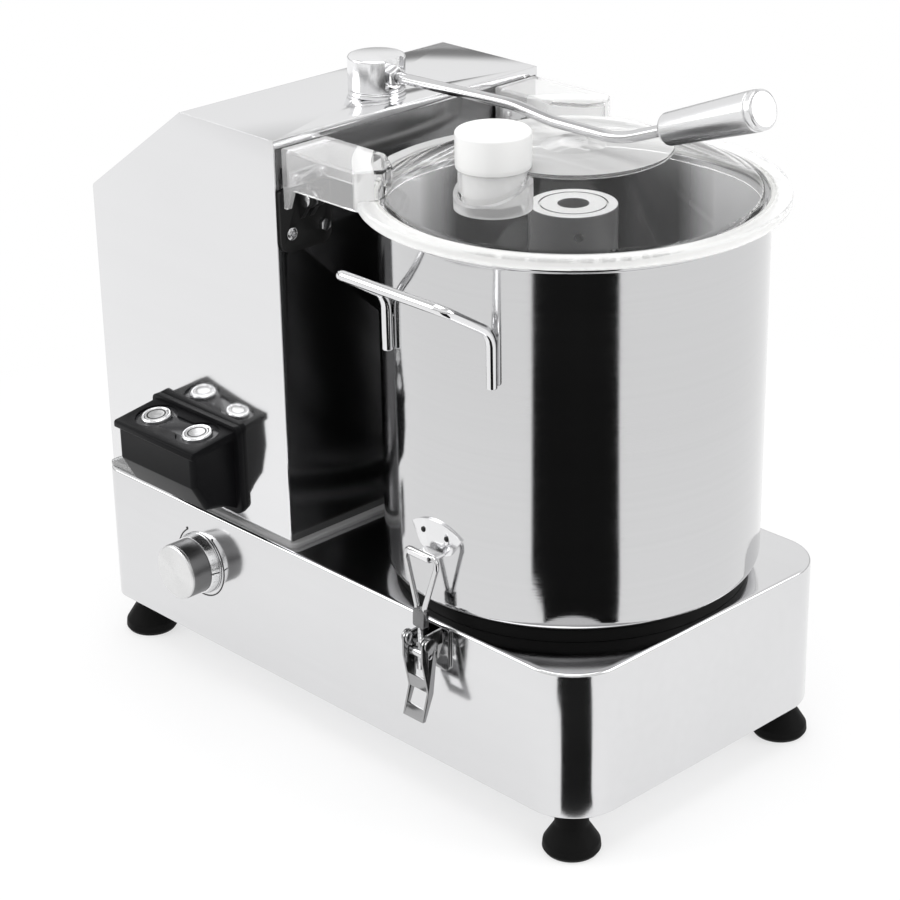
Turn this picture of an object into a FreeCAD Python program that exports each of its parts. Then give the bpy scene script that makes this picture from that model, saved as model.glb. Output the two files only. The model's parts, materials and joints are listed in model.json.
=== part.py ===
import FreeCAD, Part
import math
import os

V = FreeCAD.Vector

# All sizes are in millimetres. Shapes are drawn about the spindle axis, with z = 0 under the feet,
# X from the column towards the bowl and -Y towards the switches. They are moved by frame_shift on
# export, so that the frame lies in the middle of the footprint.
frame_shift = 107.123
running_gap = 0.05
body_gap = 0.3
mount_gap = 0.02
sheet = 1.5

# Base housing
foot_height = 32.0
foot_radius = 19.5
foot_neck_radius = 10.5
foot_bolt_radius = 4.0
foot_bolt_start = 12.0
foot_nut_flats = 13.0
base_height = 106.0
base_side_margin = 1.0
base_front_cover = 2.5
base_rear_margin = 5.5
base_front_corner = 37.5
base_rear_corner = 15.0
base_flange = 30.0
front_foot_inset = 23.5
rear_foot_inset = 17.0
side_foot_inset = 22.0
gland_y = -70.0
gland_rise = 43.0
gland_radius = 8.0
gland_flats = 20.0
cord_radius = 3.6
vent_count = 9
vent_pitch = 12.0
vent_half_length = 35.0

# Motor column
gasket_height = 3.5
gasket_side = 2.0
gasket_front = 5.0
gasket_lap = 6.0
column_gap = 24.5
column_side_inset = 5.6
column_length = 202.0
column_rise = 33.5
column_slope_run = 105.5
column_slope_drop = 74.0
panel_lip = 6.0
panel_seam = 0.4
louvre_rows = 7
louvre_pitch = 11.0
louvre_half_length = 20.0

# Bowl
bowl_radius = 127.0
bowl_wall = 1.5
bowl_height = 249.5
bowl_edge_radius = 8.0
bowl_tube_radius = 17.0
bowl_tube_drop = 25.5
rim_bead_width = 3.2
rim_bead_height = 3.6
seat_height = 9.0
seat_inset = 7.0
seat_width = 20.0

# Bowl handles
handle_rod_radius = 3.5
handle_half_width = 47.0
handle_stand_out = 35.0
handle_bar_drop = 20.5
handle_bend_drop = 45.5
handle_foot_drop = 82.5
handle_lower_bend = 18.0
handle_upper_bend = 7.0

# Spindle and blades
spindle_radius = 10.0
bearing_outer_radius = 21.0
bearing_height = 12.0
housing_radius = 30.0
housing_flange_radius = 50.0
housing_neck_radius = 32.5
hub_drop = 4.5
hub_radius = 29.1
hub_sleeve_radius = 22.0
hub_sleeve_flange = 4.0
blade_wall_gap = 8.0
blade_thickness = 2.5
lower_blade_lift = 12.0
blade_pitch = 26.0
blade_clamp_height = 14.0

# Drive in the base and the column
motor_shift = 2.5
motor_radius = 64.0
motor_length = 180.0
motor_shaft_radius = 9.0
motor_rib_count = 7
motor_rib_pitch = 18.0
motor_plate_thickness = 6.0
motor_plate_inset = 27.4
motor_pulley_radius = 40.0
spindle_pulley_radius = 32.0
pulley_height = 22.0
pulley_lift = 26.0
belt_width = 14.0
belt_thickness = 4.0
capacitor_radius = 17.0
capacitor_height = 70.0
board_length = 120.0
board_height = 110.0
board_thickness = 1.6
board_lift = 40.0
board_post_height = 8.4
board_post_inset = 6.0
sink_depth = 14.0
relay_depth = 15.0

# Lid
lid_overhang = 13.0
lid_flange_height = 7.3
lid_wall = 4.0
lid_cone_inset = 2.0
lid_disc_radius = 64.0
lid_disc_rise = 35.2
lid_boss_radius = 21.0
lid_boss_height = 4.5
lid_skirt_inset = 3.4
lid_skirt_depth = 6.0
gasket_seat_out = 4.0
gasket_seat_in = 2.6
gasket_seat_depth = 2.5
arm_width = 40.0
arm_side_inset = 4.4
arm_rise = 27.3
arm_wall = 3.0
arm_wall_gap = 1.8
feed_offset = 72.0
feed_tube_radius = 22.3
feed_tube_wall = 2.5
feed_tube_start = 9.7
feed_tube_rise = 57.7
feed_collar_width = 2.5
cap_wall = 1.4
cap_height = 23.8
cap_crown = 3.2
cap_plug_gap = 0.4
cap_plug_wall = 2.0
cap_plug_depth = 43.0

# Lid hinge
hinge_reach = 9.5
hinge_drop = 8.5
hinge_pin_radius = 3.0
hinge_knuckle_radius = 5.0
hinge_knuckle_width = 3.2
hinge_ear_width = 4.0
hinge_plate_thickness = 3.0
hinge_plate_drop = 44.5
bracket_screw_drop = 22.6
bracket_screw_radius = 2.0
bracket_screw_inner = 6.5
bracket_screw_outer = 5.5
leaf_thickness = 2.0
leaf_screw_inset = 8.5
leaf_screw_rise = 6.0
leaf_screw_radius = 1.9

# Locking arm
post_inset = 33.5
post_radius = 8.0
post_flange_height = 3.6
stud_radius = 5.0
head_radius = 20.0
head_height = 23.0
head_flat = 16.0
arm_rod_radius = 3.8
arm_rod_rise = 14.5
arm_rod_sag = 0.7
arm_rod_arch = 3.4
arm_rod_bend = 14.0
rod_knee_x = 39.0
grip_start = 40.0
grip_bore_depth = 54.0
grip_length = 83.0
grip_small_radius = 10.5
grip_large_radius = 12.8
grip_slope = 20.3
switch_body = 20.0

# Switch box and buttons
box_setback = 94.5
box_width = 84.0
box_depth = 41.0
box_lift = 6.5
box_height = 63.0
box_top_fall = 6.0
box_lip_width = 95.5
box_lip_thickness = 4.5
pad_radius = 15.5
pad_waist = 8.5
pad_depth = 1.8
button_spacing = 45.6
button_radius = 8.3
button_travel = 2.5
bezel_width = 2.7

# Speed knob
knob_setback = 95.5
knob_drop = 42.6
knob_radius = 20.5
knob_depth = 24.4
knob_skirt_width = 2.5
knob_skirt_depth = 7.5
knob_shaft_radius = 3.0
knob_face_thickness = 2.2
pot_neck_radius = 5.0
pot_radius = 11.0

# Latches
latch_pivot_out = 16.5
latch_pivot_drop = 7.5
latch_pin_radius = 2.5
latch_trunnion_out = 15.0
latch_trunnion_drop = 17.0
latch_trunnion_radius = 3.6
latch_trunnion_pin = 2.0
latch_bar_out = 12.0
latch_bar_rise = 54.0
latch_wire_radius = 1.7
latch_wire_bend = 2.6
latch_bar_half = 15.5
latch_cheek_inner = 8.0
latch_cheek_thickness = 1.5
latch_ear_thickness = 1.8
latch_lever_drop = 63.0
latch_thread_radius = 2.2
latch_thread_pitch = 2.2
latch_bracket_drop = 32.0
catch_thickness = 1.5
catch_fan_radius = 36.5
catch_rivet_radius = 1.8
catch_rivet_x = 10.7
catch_rivet_rise = 9.3

# Plan sizes that follow from the sizes above
base_front = bowl_radius - base_front_cover
base_half = bowl_radius + base_side_margin
column_front = bowl_radius + column_gap
column_rear = -column_front - column_length
column_half = base_half - column_side_inset
base_rear = column_rear - base_rear_margin
bowl_inner = bowl_radius - bowl_wall
seat_radius = bowl_radius - seat_inset
blade_reach = bowl_radius - blade_wall_gap
handle_reach = bowl_radius + handle_stand_out
lid_radius = bowl_radius + lid_overhang
lid_cone_radius = bowl_radius - lid_cone_inset
lid_skirt_radius = bowl_radius - lid_skirt_inset
arm_outer = column_half - arm_side_inset
arm_inner = arm_outer - arm_width
motor_offset = column_front + column_length / 2 - motor_shift
hinge_x = -column_front + hinge_reach
post_x = -column_front - post_inset
box_x = -column_front - box_setback
knob_x = -column_front - knob_setback
cap_radius = feed_tube_radius + body_gap + cap_wall
bezel_radius = button_radius + bezel_width
knob_skirt_radius = knob_radius + knob_skirt_width

# Heights that follow from the sizes above
deck_z = foot_height + base_height
column_foot = deck_z + gasket_height
bowl_bottom = deck_z + seat_height
bowl_floor = bowl_bottom + bowl_wall
rim_top = bowl_bottom + bowl_height
bowl_tube_top = rim_top - bowl_tube_drop
column_top = rim_top + column_rise
lid_bottom = rim_top + body_gap + 0.5
lid_disc_height = lid_bottom + lid_disc_rise
arm_top = lid_bottom + arm_rise
feed_tube_bottom = lid_bottom + feed_tube_start
feed_tube_top = lid_bottom + feed_tube_rise
hinge_z = rim_top - hinge_drop
hub_top = rim_top - hub_drop
handle_bar_height = rim_top - handle_bar_drop
handle_bend_height = rim_top - handle_bend_drop
handle_foot_height = rim_top - handle_foot_drop
arm_rod_high = column_top + arm_rod_rise
arm_rod_low = arm_rod_high - arm_rod_sag
gland_z = foot_height + gland_rise
pulley_z = foot_height + pulley_lift
spindle_bottom = pulley_z - pulley_height / 2 - 1
knob_z = deck_z - knob_drop
box_bottom = column_foot + box_lift
box_top = box_bottom + box_height
box_front_top = box_top - box_top_fall
latch_pivot_z = deck_z - latch_pivot_drop
latch_trunnion_z = deck_z - latch_trunnion_drop
latch_bar_z = deck_z + latch_bar_rise
latch_lever_bottom = deck_z - latch_lever_drop


def box(x0, x1, y0, y1, z0, z1):
    return Part.makeBox(x1 - x0, y1 - y0, z1 - z0, V(x0, y0, z0))


def disc(radius, z0, z1, x=0.0, y=0.0):
    return Part.makeCylinder(radius, z1 - z0, V(x, y, z0))


def rod_x(radius, x0, x1, y, z):
    return Part.makeCylinder(radius, x1 - x0, V(x0, y, z), V(1, 0, 0))


def rod_y(radius, y0, y1, x, z):
    return Part.makeCylinder(radius, y1 - y0, V(x, y0, z), V(0, 1, 0))


def ring(outer, inner, z0, z1, x=0.0, y=0.0):
    return disc(outer, z0, z1, x, y).cut(disc(inner, z0, z1, x, y))


def outline(points, radii=None):
    # Closed wire through the points; a corner with a radius is rounded by an arc.
    count = len(points)
    radii = radii or [0.0] * count
    starts = []
    ends = []
    arcs = []
    for i in range(count):
        here = points[i]
        before = points[i - 1] - here
        after = points[(i + 1) % count] - here
        if radii[i] <= 0:
            starts.append(here)
            ends.append(here)
            arcs.append(None)
            continue
        half = before.getAngle(after) / 2
        reach = radii[i] / math.tan(half)
        before.normalize()
        after.normalize()
        middle_way = before + after
        middle_way.normalize()
        start = here + before * reach
        end = here + after * reach
        middle = here + middle_way * (radii[i] / math.sin(half) - radii[i])
        starts.append(start)
        ends.append(end)
        arcs.append(Part.Arc(start, middle, end).toShape())
    edges = []
    for i in range(count):
        if arcs[i]:
            edges.append(arcs[i])
        there = starts[(i + 1) % count]
        if ends[i].distanceToPoint(there) > 1e-6:
            edges.append(Part.makeLine(ends[i], there))
    return Part.Wire(edges)


def plate(points, radii, z0, z1):
    wire = outline([V(x, y, z0) for x, y in points], radii)
    return Part.Face(wire).extrude(V(0, 0, z1 - z0))


def side_plate(points, radii, y0, y1):
    # Points are (x, z); the plate runs along Y.
    wire = outline([V(x, y0, z) for x, z in points], radii)
    return Part.Face(wire).extrude(V(0, y1 - y0, 0))


def cross_plate(points, radii, x0, x1):
    # Points are (y, z); the plate runs along X.
    wire = outline([V(x0, y, z) for y, z in points], radii)
    return Part.Face(wire).extrude(V(x1 - x0, 0, 0))


def turned(profile, radii=None, x=0.0, y=0.0):
    # Profile points are (radius, z) about a vertical axis.
    wire = outline([V(r, 0, z) for r, z in profile], radii)
    solid = Part.Face(wire).revolve(V(0, 0, 0), V(0, 0, 1), 360)
    solid.translate(V(x, y, 0))
    return solid


def bent_rod(points, radius, bends):
    # Round rod through the points, with one bend radius for each inner corner.
    path = []
    last = points[0]
    for i in range(1, len(points) - 1):
        here = points[i]
        before = points[i - 1] - here
        after = points[i + 1] - here
        bend = bends[i - 1]
        half = before.getAngle(after) / 2
        reach = bend / math.tan(half)
        before.normalize()
        after.normalize()
        middle_way = before + after
        middle_way.normalize()
        start = here + before * reach
        end = here + after * reach
        middle = here + middle_way * (bend / math.sin(half) - bend)
        path.append(Part.makeLine(last, start))
        path.append(Part.Arc(start, middle, end).toShape())
        last = end
    path.append(Part.makeLine(last, points[-1]))
    spine = Part.Wire(path)
    section = Part.Wire([Part.makeCircle(radius, points[0], points[1] - points[0])])
    return spine.makePipeShell([section], True, False)


def cross_slot(x, y, z, length, width, depth, axis):
    # Cross recess of a screw head, its mouth at the point and running back along the axis.
    along = box(-length / 2, length / 2, -width / 2, width / 2, -depth, 1)
    across = box(-width / 2, width / 2, -length / 2, length / 2, -depth, 1)
    slot = along.fuse(across)
    slot.Placement = FreeCAD.Placement(V(x, y, z), FreeCAD.Rotation(V(0, 0, 1), axis))
    return slot


def pan_screw(x, y, z, wide, tall, shank_radius, shank_length, axis):
    # Pan head screw: the head sits on the point and the shank runs back along the axis.
    head = turned([(0, 0), (wide, 0), (wide, tall * 0.6), (wide * 0.6, tall), (0, tall)])
    screw = head.fuse(disc(shank_radius, -shank_length, 0))
    screw.Placement = FreeCAD.Placement(V(x, y, z), FreeCAD.Rotation(V(0, 0, 1), axis))
    tip = V(x, y, z) + axis * tall
    return screw.cut(cross_slot(tip.x, tip.y, tip.z, wide * 1.2, wide * 0.3, tall * 0.6, axis))


def hex_prism(flats, x, y, z, height, axis):
    radius = flats / math.sqrt(3)
    points = []
    for i in range(6):
        angle = math.radians(60 * i)
        points.append(V(radius * math.cos(angle), radius * math.sin(angle), 0))
    solid = Part.Face(outline(points)).extrude(V(0, 0, height))
    solid.Placement = FreeCAD.Placement(V(x, y, z), FreeCAD.Rotation(V(0, 0, 1), axis))
    return solid


def mirrored(shape):
    return shape.mirror(V(0, 0, 0), V(0, 1, 0))


def base_outline(inset):
    x0 = base_rear + inset
    x1 = base_front - inset
    y1 = base_half - inset
    front = base_front_corner - inset
    rear = base_rear_corner - inset
    return [(x0, -y1), (x1, -y1), (x1, y1), (x0, y1)], [rear, front, front, rear]


def foot_places():
    front = base_front - front_foot_inset
    rear = base_rear + rear_foot_inset
    side = base_half - side_foot_inset
    return [(front, -side), (front, side), (rear, -side), (rear, side)]


def make_base_shell():
    points, radii = base_outline(0)
    shell = plate(points, radii, foot_height, deck_z)
    top_edges = [e for e in shell.Edges if e.BoundBox.ZMin > deck_z - 0.01]
    shell = shell.makeFillet(sheet, top_edges)
    points, radii = base_outline(sheet)
    shell = shell.cut(plate(points, radii, foot_height + sheet, deck_z - sheet))
    points, radii = base_outline(base_flange)
    radii = [max(r, 8.0) for r in radii]
    shell = shell.cut(plate(points, radii, foot_height - 1, foot_height + sheet + 1))
    spindle_hole = disc(housing_neck_radius + 0.5, deck_z - 5, deck_z + 5)
    motor_hole = disc(motor_pulley_radius - 4, deck_z - 5, deck_z + 5, -motor_offset)
    knob_hole = rod_y(pot_neck_radius + 0.2, -base_half - 2, -base_half + 4, knob_x, knob_z)
    gland_hole = rod_x(gland_radius + 0.1, base_rear - 2, base_rear + 4, gland_y, gland_z)
    shell = shell.cut(spindle_hole.fuse([motor_hole, knob_hole, gland_hole]))
    for x, y in foot_places():
        shell = shell.cut(disc(foot_bolt_radius + 0.1, foot_height - 1, foot_height + sheet + 1, x, y))
    return shell


def make_bottom_plate():
    points, radii = base_outline(sheet + 1.0)
    z0 = foot_height + sheet
    floor = plate(points, radii, z0, z0 + sheet)
    for x, y in foot_places():
        floor = floor.cut(disc(foot_bolt_radius + 0.1, z0 - 1, z0 + sheet + 1, x, y))
    vents = []
    y = vent_half_length
    for i in range(vent_count):
        x = -motor_offset + vent_pitch * (i - (vent_count - 1) / 2)
        corners = [(x - 2, -y), (x + 2, -y), (x + 2, y), (x - 2, y)]
        vents.append(plate(corners, [1.9] * 4, z0 - 1, z0 + sheet + 1))
    return floor.cut(vents)


def make_feet():
    feet = []
    for x, y in foot_places():
        foot = turned(
            [(0, 0), (foot_radius - 2, 0), (foot_radius, 3), (foot_radius - 0.5, 8),
             (foot_neck_radius + 1, 20), (foot_neck_radius, foot_height), (0, foot_height)],
            [0, 1.5, 1.5, 3, 4, 0, 0], x, y)
        feet.append(foot.cut(disc(foot_bolt_radius + 0.1, foot_bolt_start, foot_height + 1, x, y)))
    return Part.makeCompound(feet)


def make_foot_bolts():
    bolts = []
    nut_z = foot_height + 2 * sheet
    for x, y in foot_places():
        shank = disc(foot_bolt_radius, foot_bolt_start, nut_z + 9, x, y)
        bolts.append(shank.fuse(hex_prism(foot_nut_flats, x, y, nut_z, 6.5, V(0, 0, 1))))
    return Part.makeCompound(bolts)


def make_cable_gland():
    x0 = base_rear
    y = gland_y
    z = gland_z
    body = rod_x(gland_radius, x0 - 3, x0 + sheet + 8, y, z)
    nut = hex_prism(gland_flats, x0 - 5, y, z, 5, V(1, 0, 0))
    dome = rod_x(gland_radius + 1, x0 - 12, x0 - 5, y, z)
    dome = dome.makeFillet(2.5, [e for e in dome.Edges if e.BoundBox.XMax < x0 - 11.9])
    lock_nut = hex_prism(gland_flats, x0 + sheet, y, z, 4, V(1, 0, 0))
    return body.fuse([nut, dome, lock_nut]).cut(rod_x(cord_radius, x0 - 13, x0 + 12, y, z))


def column_outline(inset):
    x0 = column_rear + inset
    x1 = -column_front
    z0 = column_foot
    z1 = column_top - inset
    slope = math.atan2(column_slope_drop, column_slope_run)
    lift = inset * math.tan((math.pi / 2 - slope) / 2)
    slip = inset * math.tan(slope / 2)
    return [(x0, z0), (x1, z0), (x1, z1), (column_rear + column_slope_run + slip, z1),
            (x0, column_top - column_slope_drop - lift)]


def make_column_gasket():
    outer_side = column_half + gasket_side
    x0 = column_rear - gasket_side
    x1 = -column_front + gasket_front
    outer = plate([(x0, -outer_side), (x1, -outer_side), (x1, outer_side), (x0, outer_side)], [3, 6, 6, 3],
                  deck_z, column_foot)
    edges = [e for e in outer.Edges if e.BoundBox.ZMin > column_foot - 0.01]
    outer = outer.makeFillet(1.2, edges)
    inner_side = column_half - gasket_lap
    inner_rear = column_rear + gasket_lap
    inner_front = -column_front - gasket_lap
    return outer.cut(box(inner_rear, inner_front, -inner_side, inner_side, deck_z - 1, column_foot + 1))


def make_column_shell():
    outer = side_plate(column_outline(0), [0, 0, 0, 4, 4], -column_half, column_half)
    inner_half = column_half - sheet
    inner = side_plate(column_outline(sheet), [0, 0, 0, 3, 3], -inner_half, inner_half)
    shell = outer.cut(inner)
    z1 = column_top - sheet
    lip = box(-column_front - sheet, -column_front, -inner_half, inner_half, column_top - panel_lip, z1)
    back_x0 = -column_front - 2 * sheet
    back_x1 = -column_front - sheet
    returns = []
    for side in (-1, 1):
        y0 = min(side * inner_half, side * (inner_half - 10))
        returns.append(box(back_x0, back_x1, y0, y0 + 10, column_foot, z1))
    returns.append(box(back_x0, back_x1, -inner_half, inner_half, column_top - panel_lip - 8, z1))
    shell = shell.fuse([lip] + returns)
    slots = []
    for row in range(louvre_rows):
        z = column_foot + 70 + louvre_pitch * row
        for y in (-52, 0, 52):
            y0 = y - louvre_half_length
            slots.append(box(column_rear - 2, column_rear + 4, y0, y0 + 2 * louvre_half_length, z, z + 4))
    holes = [disc(stud_radius + 0.1, column_top - 4, column_top + 2, post_x)]
    for y, z in bracket_screw_places():
        holes.append(rod_x(bracket_screw_radius + 0.1, -column_front - 6, -column_front - 1, y, z))
    return shell.cut(slots + holes).removeSplitter()


def make_front_panel():
    half = column_half - sheet - panel_seam
    top = column_top - panel_lip - panel_seam
    panel = box(-column_front - sheet, -column_front, -half, half, column_foot, top)
    holes = []
    for y, z in bracket_screw_places():
        holes.append(rod_x(bracket_screw_radius + 0.1, -column_front - 3, -column_front + 1, y, z))
    return panel.cut(holes)


def make_bowl_seat():
    z1 = bowl_bottom
    seat = ring(seat_radius, seat_radius - seat_width, deck_z, z1)
    top_edges = [e for e in seat.Edges if e.BoundBox.ZMin > z1 - 0.01]
    return seat.makeFillet(1.5, [e for e in top_edges if e.BoundBox.XMax > seat_radius - 1])


def make_bowl():
    r = bowl_radius
    w = bowl_wall
    z0 = bowl_bottom
    bead = r + rim_bead_width
    bead_low = rim_top - rim_bead_height
    profile = [(bowl_tube_radius - w, z0), (r, z0), (r, bead_low - 1.4), (bead, bead_low), (bead, rim_top),
               (bowl_inner, rim_top), (bowl_inner, z0 + w), (bowl_tube_radius + 3, z0 + w),
               (bowl_tube_radius, z0 + w + 3.5), (bowl_tube_radius, bowl_tube_top),
               (bowl_tube_radius - w, bowl_tube_top)]
    radii = [0, bowl_edge_radius, 1, 1, 1.6, 1, bowl_edge_radius - w, 1.5, 1.5, 0.4, 0]
    return turned(profile, radii)


def make_bowl_handle():
    # The two feet of the rod lie against the bowl wall, on the switch side.
    w = handle_half_width
    foot_y = -math.sqrt((bowl_radius + handle_rod_radius + mount_gap) ** 2 - w ** 2)
    points = [V(-w, foot_y, handle_foot_height), V(-w, foot_y, handle_bend_height),
              V(-w, -handle_reach, handle_bar_height), V(w, -handle_reach, handle_bar_height),
              V(w, foot_y, handle_bend_height), V(w, foot_y, handle_foot_height)]
    bends = [handle_lower_bend, handle_upper_bend, handle_upper_bend, handle_lower_bend]
    return bent_rod(points, handle_rod_radius, bends)


def make_catch():
    # Keeper on the bowl: a fan shaped plate bent to the wall, with a hook that opens upwards.
    z = latch_bar_z
    thickness = catch_thickness
    fan = side_plate([(-9, z - 3.6), (9, z - 3.6), (14, z - 1.5), (24, z + 13), (24, z + 30), (-24, z + 30),
                      (-24, z + 13), (-14, z - 1.5)], [0, 0, 3, 0, 0, 0, 0, 3], -bowl_radius - 20, 0)
    fan = fan.common(rod_y(catch_fan_radius, -bowl_radius - 20, 0, 0, z + 19 - catch_fan_radius))
    wall = ring(bowl_radius + mount_gap + thickness, bowl_radius + mount_gap, z - 10, z + 30)
    leaf = wall.common(fan)
    lip_out = -base_half - latch_bar_out - latch_wire_radius - 0.7
    back = -bowl_radius - 0.4
    floor = z - latch_wire_radius - body_gap
    hook = cross_plate(
        [(back, floor - thickness), (lip_out - thickness, floor - thickness), (lip_out - thickness, z + 1.4),
         (lip_out, z + 1.4), (lip_out, floor), (back, floor)],
        [0, 2.6, 0.6, 0.6, 1.1, 0], -9, 9)
    holes = [rod_y(catch_rivet_radius + 0.1, -bowl_radius - 20, 0, x, z + catch_rivet_rise)
             for x in (-catch_rivet_x, catch_rivet_x)]
    return leaf.fuse(hook).cut(holes).removeSplitter()


def make_catch_rivets():
    rivets = []
    for side in (-1, 1):
        for x in (-catch_rivet_x, catch_rivet_x):
            y = side * (bowl_radius + 0.9)
            rivets.append(rod_y(catch_rivet_radius, y - 1.0, y + 1.0, x, latch_bar_z + catch_rivet_rise))
    return Part.makeCompound(rivets)


def make_spindle_housing():
    z0 = pulley_z + pulley_height / 2 + 5
    bore = bearing_outer_radius + 0.1
    top = bowl_bottom - 1.5
    neck = housing_neck_radius
    flange = housing_flange_radius
    profile = [(bore, z0), (housing_radius, z0), (housing_radius, deck_z - 14), (flange, deck_z - 10),
               (flange, deck_z - sheet), (neck, deck_z - sheet), (neck, top), (14, top), (14, top - 3.5),
               (bore, top - 3.5)]
    return turned(profile, [0, 1, 3, 2, 0, 0, 2, 0, 0, 0])


def make_spindle_bearings():
    low = pulley_z + pulley_height / 2 + 6
    high = bowl_bottom - 5 - bearing_height
    bore = spindle_radius + running_gap
    return Part.makeCompound([ring(bearing_outer_radius, bore, z, z + bearing_height) for z in (low, high)])


def make_spindle_shaft():
    top = hub_top - 7
    r = spindle_radius
    shaft = turned([(0, spindle_bottom), (r, spindle_bottom), (r, top), (0, top)], [0, 1.5, 1.5, 0])
    return shaft.cut(box(-1.2, 1.2, -12, 12, top - 2, top + 1))


def pulley(radius, bore, x):
    z0 = pulley_z - pulley_height / 2
    z1 = pulley_z + pulley_height / 2
    rim = radius + belt_thickness + 2
    half = belt_width / 2 + body_gap
    return turned(
        [(bore, z0), (rim, z0), (rim, pulley_z - half), (radius, pulley_z - half), (radius, pulley_z + half),
         (rim, pulley_z + half), (rim, z1), (bore, z1)],
        [0, 1, 1, 0, 0, 1, 1, 0], x, 0)


def belt_loop(spindle_r, motor_r):
    # Straight runs that touch both circles on the outside.
    lean = math.asin((motor_r - spindle_r) / motor_offset)
    c = math.cos(lean)
    s = math.sin(lean)
    z = pulley_z - belt_width / 2
    a = V(-s * spindle_r, c * spindle_r, z)
    b = V(-motor_offset - s * motor_r, c * motor_r, z)
    a_low = V(a.x, -a.y, z)
    b_low = V(b.x, -b.y, z)
    edges = [Part.makeLine(a, b), Part.Arc(b, V(-motor_offset - motor_r, 0, z), b_low).toShape(),
             Part.makeLine(b_low, a_low), Part.Arc(a_low, V(spindle_r, 0, z), a).toShape()]
    return Part.Face(Part.Wire(edges)).extrude(V(0, 0, belt_width))


def make_drive_belt():
    inner = belt_loop(spindle_pulley_radius + body_gap, motor_pulley_radius + body_gap)
    grow = body_gap + belt_thickness
    return belt_loop(spindle_pulley_radius + grow, motor_pulley_radius + grow).cut(inner)


def make_motor_plate():
    z1 = deck_z + motor_plate_thickness
    x0 = column_rear + 20
    x1 = -column_front - 10
    side = column_half - motor_plate_inset
    mount = plate([(x0, -side), (x1, -side), (x1, side), (x0, side)], [8] * 4, deck_z, z1)
    return mount.cut(disc(motor_pulley_radius - 10, deck_z - 1, z1 + 1, -motor_offset))


def make_motor_body():
    z0 = deck_z + motor_plate_thickness
    z1 = z0 + motor_length
    r = motor_radius
    bore = motor_shaft_radius + 0.5
    profile = [(bore, z0), (r + 4, z0), (r + 4, z0 + 10), (r, z0 + 10), (r, z1 - 22), (r + 2, z1 - 20),
               (r + 2, z1 - 6), (r - 10, z1), (bore, z1)]
    body = turned(profile, [0, 2, 2, 1, 1, 1, 4, 2, 0], -motor_offset)
    grooves = []
    for i in range(motor_rib_count):
        z = z0 + 26 + motor_rib_pitch * i
        grooves.append(ring(r + 6, r - 3, z, z + 6, -motor_offset, 0))
    return body.cut(grooves)


def make_motor_shaft():
    z0 = pulley_z - pulley_height / 2 - 4
    z1 = deck_z + motor_plate_thickness + motor_length - 12
    shaft = disc(motor_shaft_radius, z0, z1, -motor_offset)
    return shaft.makeChamfer(1.0, [e for e in shaft.Edges if e.BoundBox.ZMax < z0 + 0.01])


def make_motor_pulley():
    return pulley(motor_pulley_radius, motor_shaft_radius, -motor_offset)


def make_spindle_pulley():
    return pulley(spindle_pulley_radius, spindle_radius, 0)


def make_control_board():
    # Speed board on four posts on the far side wall, with its heat sink, relay, terminals and coil.
    wall = column_half - sheet
    back = wall - board_post_height
    face = back - board_thickness
    x0 = -column_front - (column_length + board_length) / 2
    x1 = x0 + board_length
    z0 = column_foot + board_lift
    z1 = z0 + board_height
    board = box(x0, x1, face, back, z0, z1)
    posts = []
    for x in (x0 + board_post_inset, x1 - board_post_inset):
        for z in (z0 + board_post_inset, z1 - board_post_inset):
            posts.append(rod_y(3, back, wall, x, z))
    sink_top = face - sink_depth
    heat_sink = box(x0 + 12, x0 + 58, sink_top, face, z0 + 30, z0 + 100)
    fins = []
    for i in range(5):
        z = z0 + 36 + 12 * i
        fins.append(box(x0 + 11, x0 + 59, sink_top - 1, sink_top + 9, z, z + 6))
    relay = box(x1 - 45, x1 - 15, face - relay_depth, face, z0 + 64, z0 + 96)
    terminals = box(x1 - 50, x1 - 10, face - 10, face, z0 + 12, z0 + 26)
    coil = rod_y(9, face - sink_depth, face, x1 - 32, z0 + 44)
    return board.fuse(posts + [heat_sink, relay, terminals, coil]).cut(fins)


def make_capacitor():
    z0 = deck_z + motor_plate_thickness
    z1 = z0 + capacitor_height
    can = disc(capacitor_radius, z0, z1, -motor_offset + motor_radius + 4, -motor_radius - 12)
    return can.makeFillet(2, [e for e in can.Edges if e.BoundBox.ZMin > z1 - 1])


def hub_profile():
    z_low = bowl_floor + lower_blade_lift - 8
    step = z_low + 8 + blade_pitch + blade_thickness + blade_clamp_height
    bore = bowl_tube_radius + 0.6
    top_bore = bowl_tube_top + 3
    flange = hub_sleeve_radius + hub_sleeve_flange
    sleeve = hub_sleeve_radius
    profile = [(bore, z_low), (flange, z_low), (flange, z_low + 8), (sleeve, z_low + 8), (sleeve, step),
               (hub_radius, step), (hub_radius, hub_top),
               (22.6, hub_top), (22.6, hub_top - 1.2), (21.4, hub_top - 1.2), (21.4, hub_top),
               (spindle_radius + 0.1, hub_top), (spindle_radius + 0.1, top_bore), (bore, top_bore)]
    radii = [0, 1, 0, 0, 0, 1, 1.2, 0, 0, 0, 0, 0.6, 0, 0]
    return profile, radii


def make_blade_hub():
    profile, radii = hub_profile()
    hub = turned(profile, radii)
    angle = math.radians(-40)
    way = V(math.cos(angle), math.sin(angle), 0)
    cuts = []
    for side in (1, -1):
        start = way * (side * 9.0)
        cuts.append(Part.makeCylinder(3.0, 30, V(start.x, start.y, hub_top - 14), way * side))
    cuts.append(box(26.2, 40, -14, 14, hub_top - 5, hub_top + 5).rotate(V(0, 0, 0), V(0, 0, 1), -52))
    return hub.cut(cuts)


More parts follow.
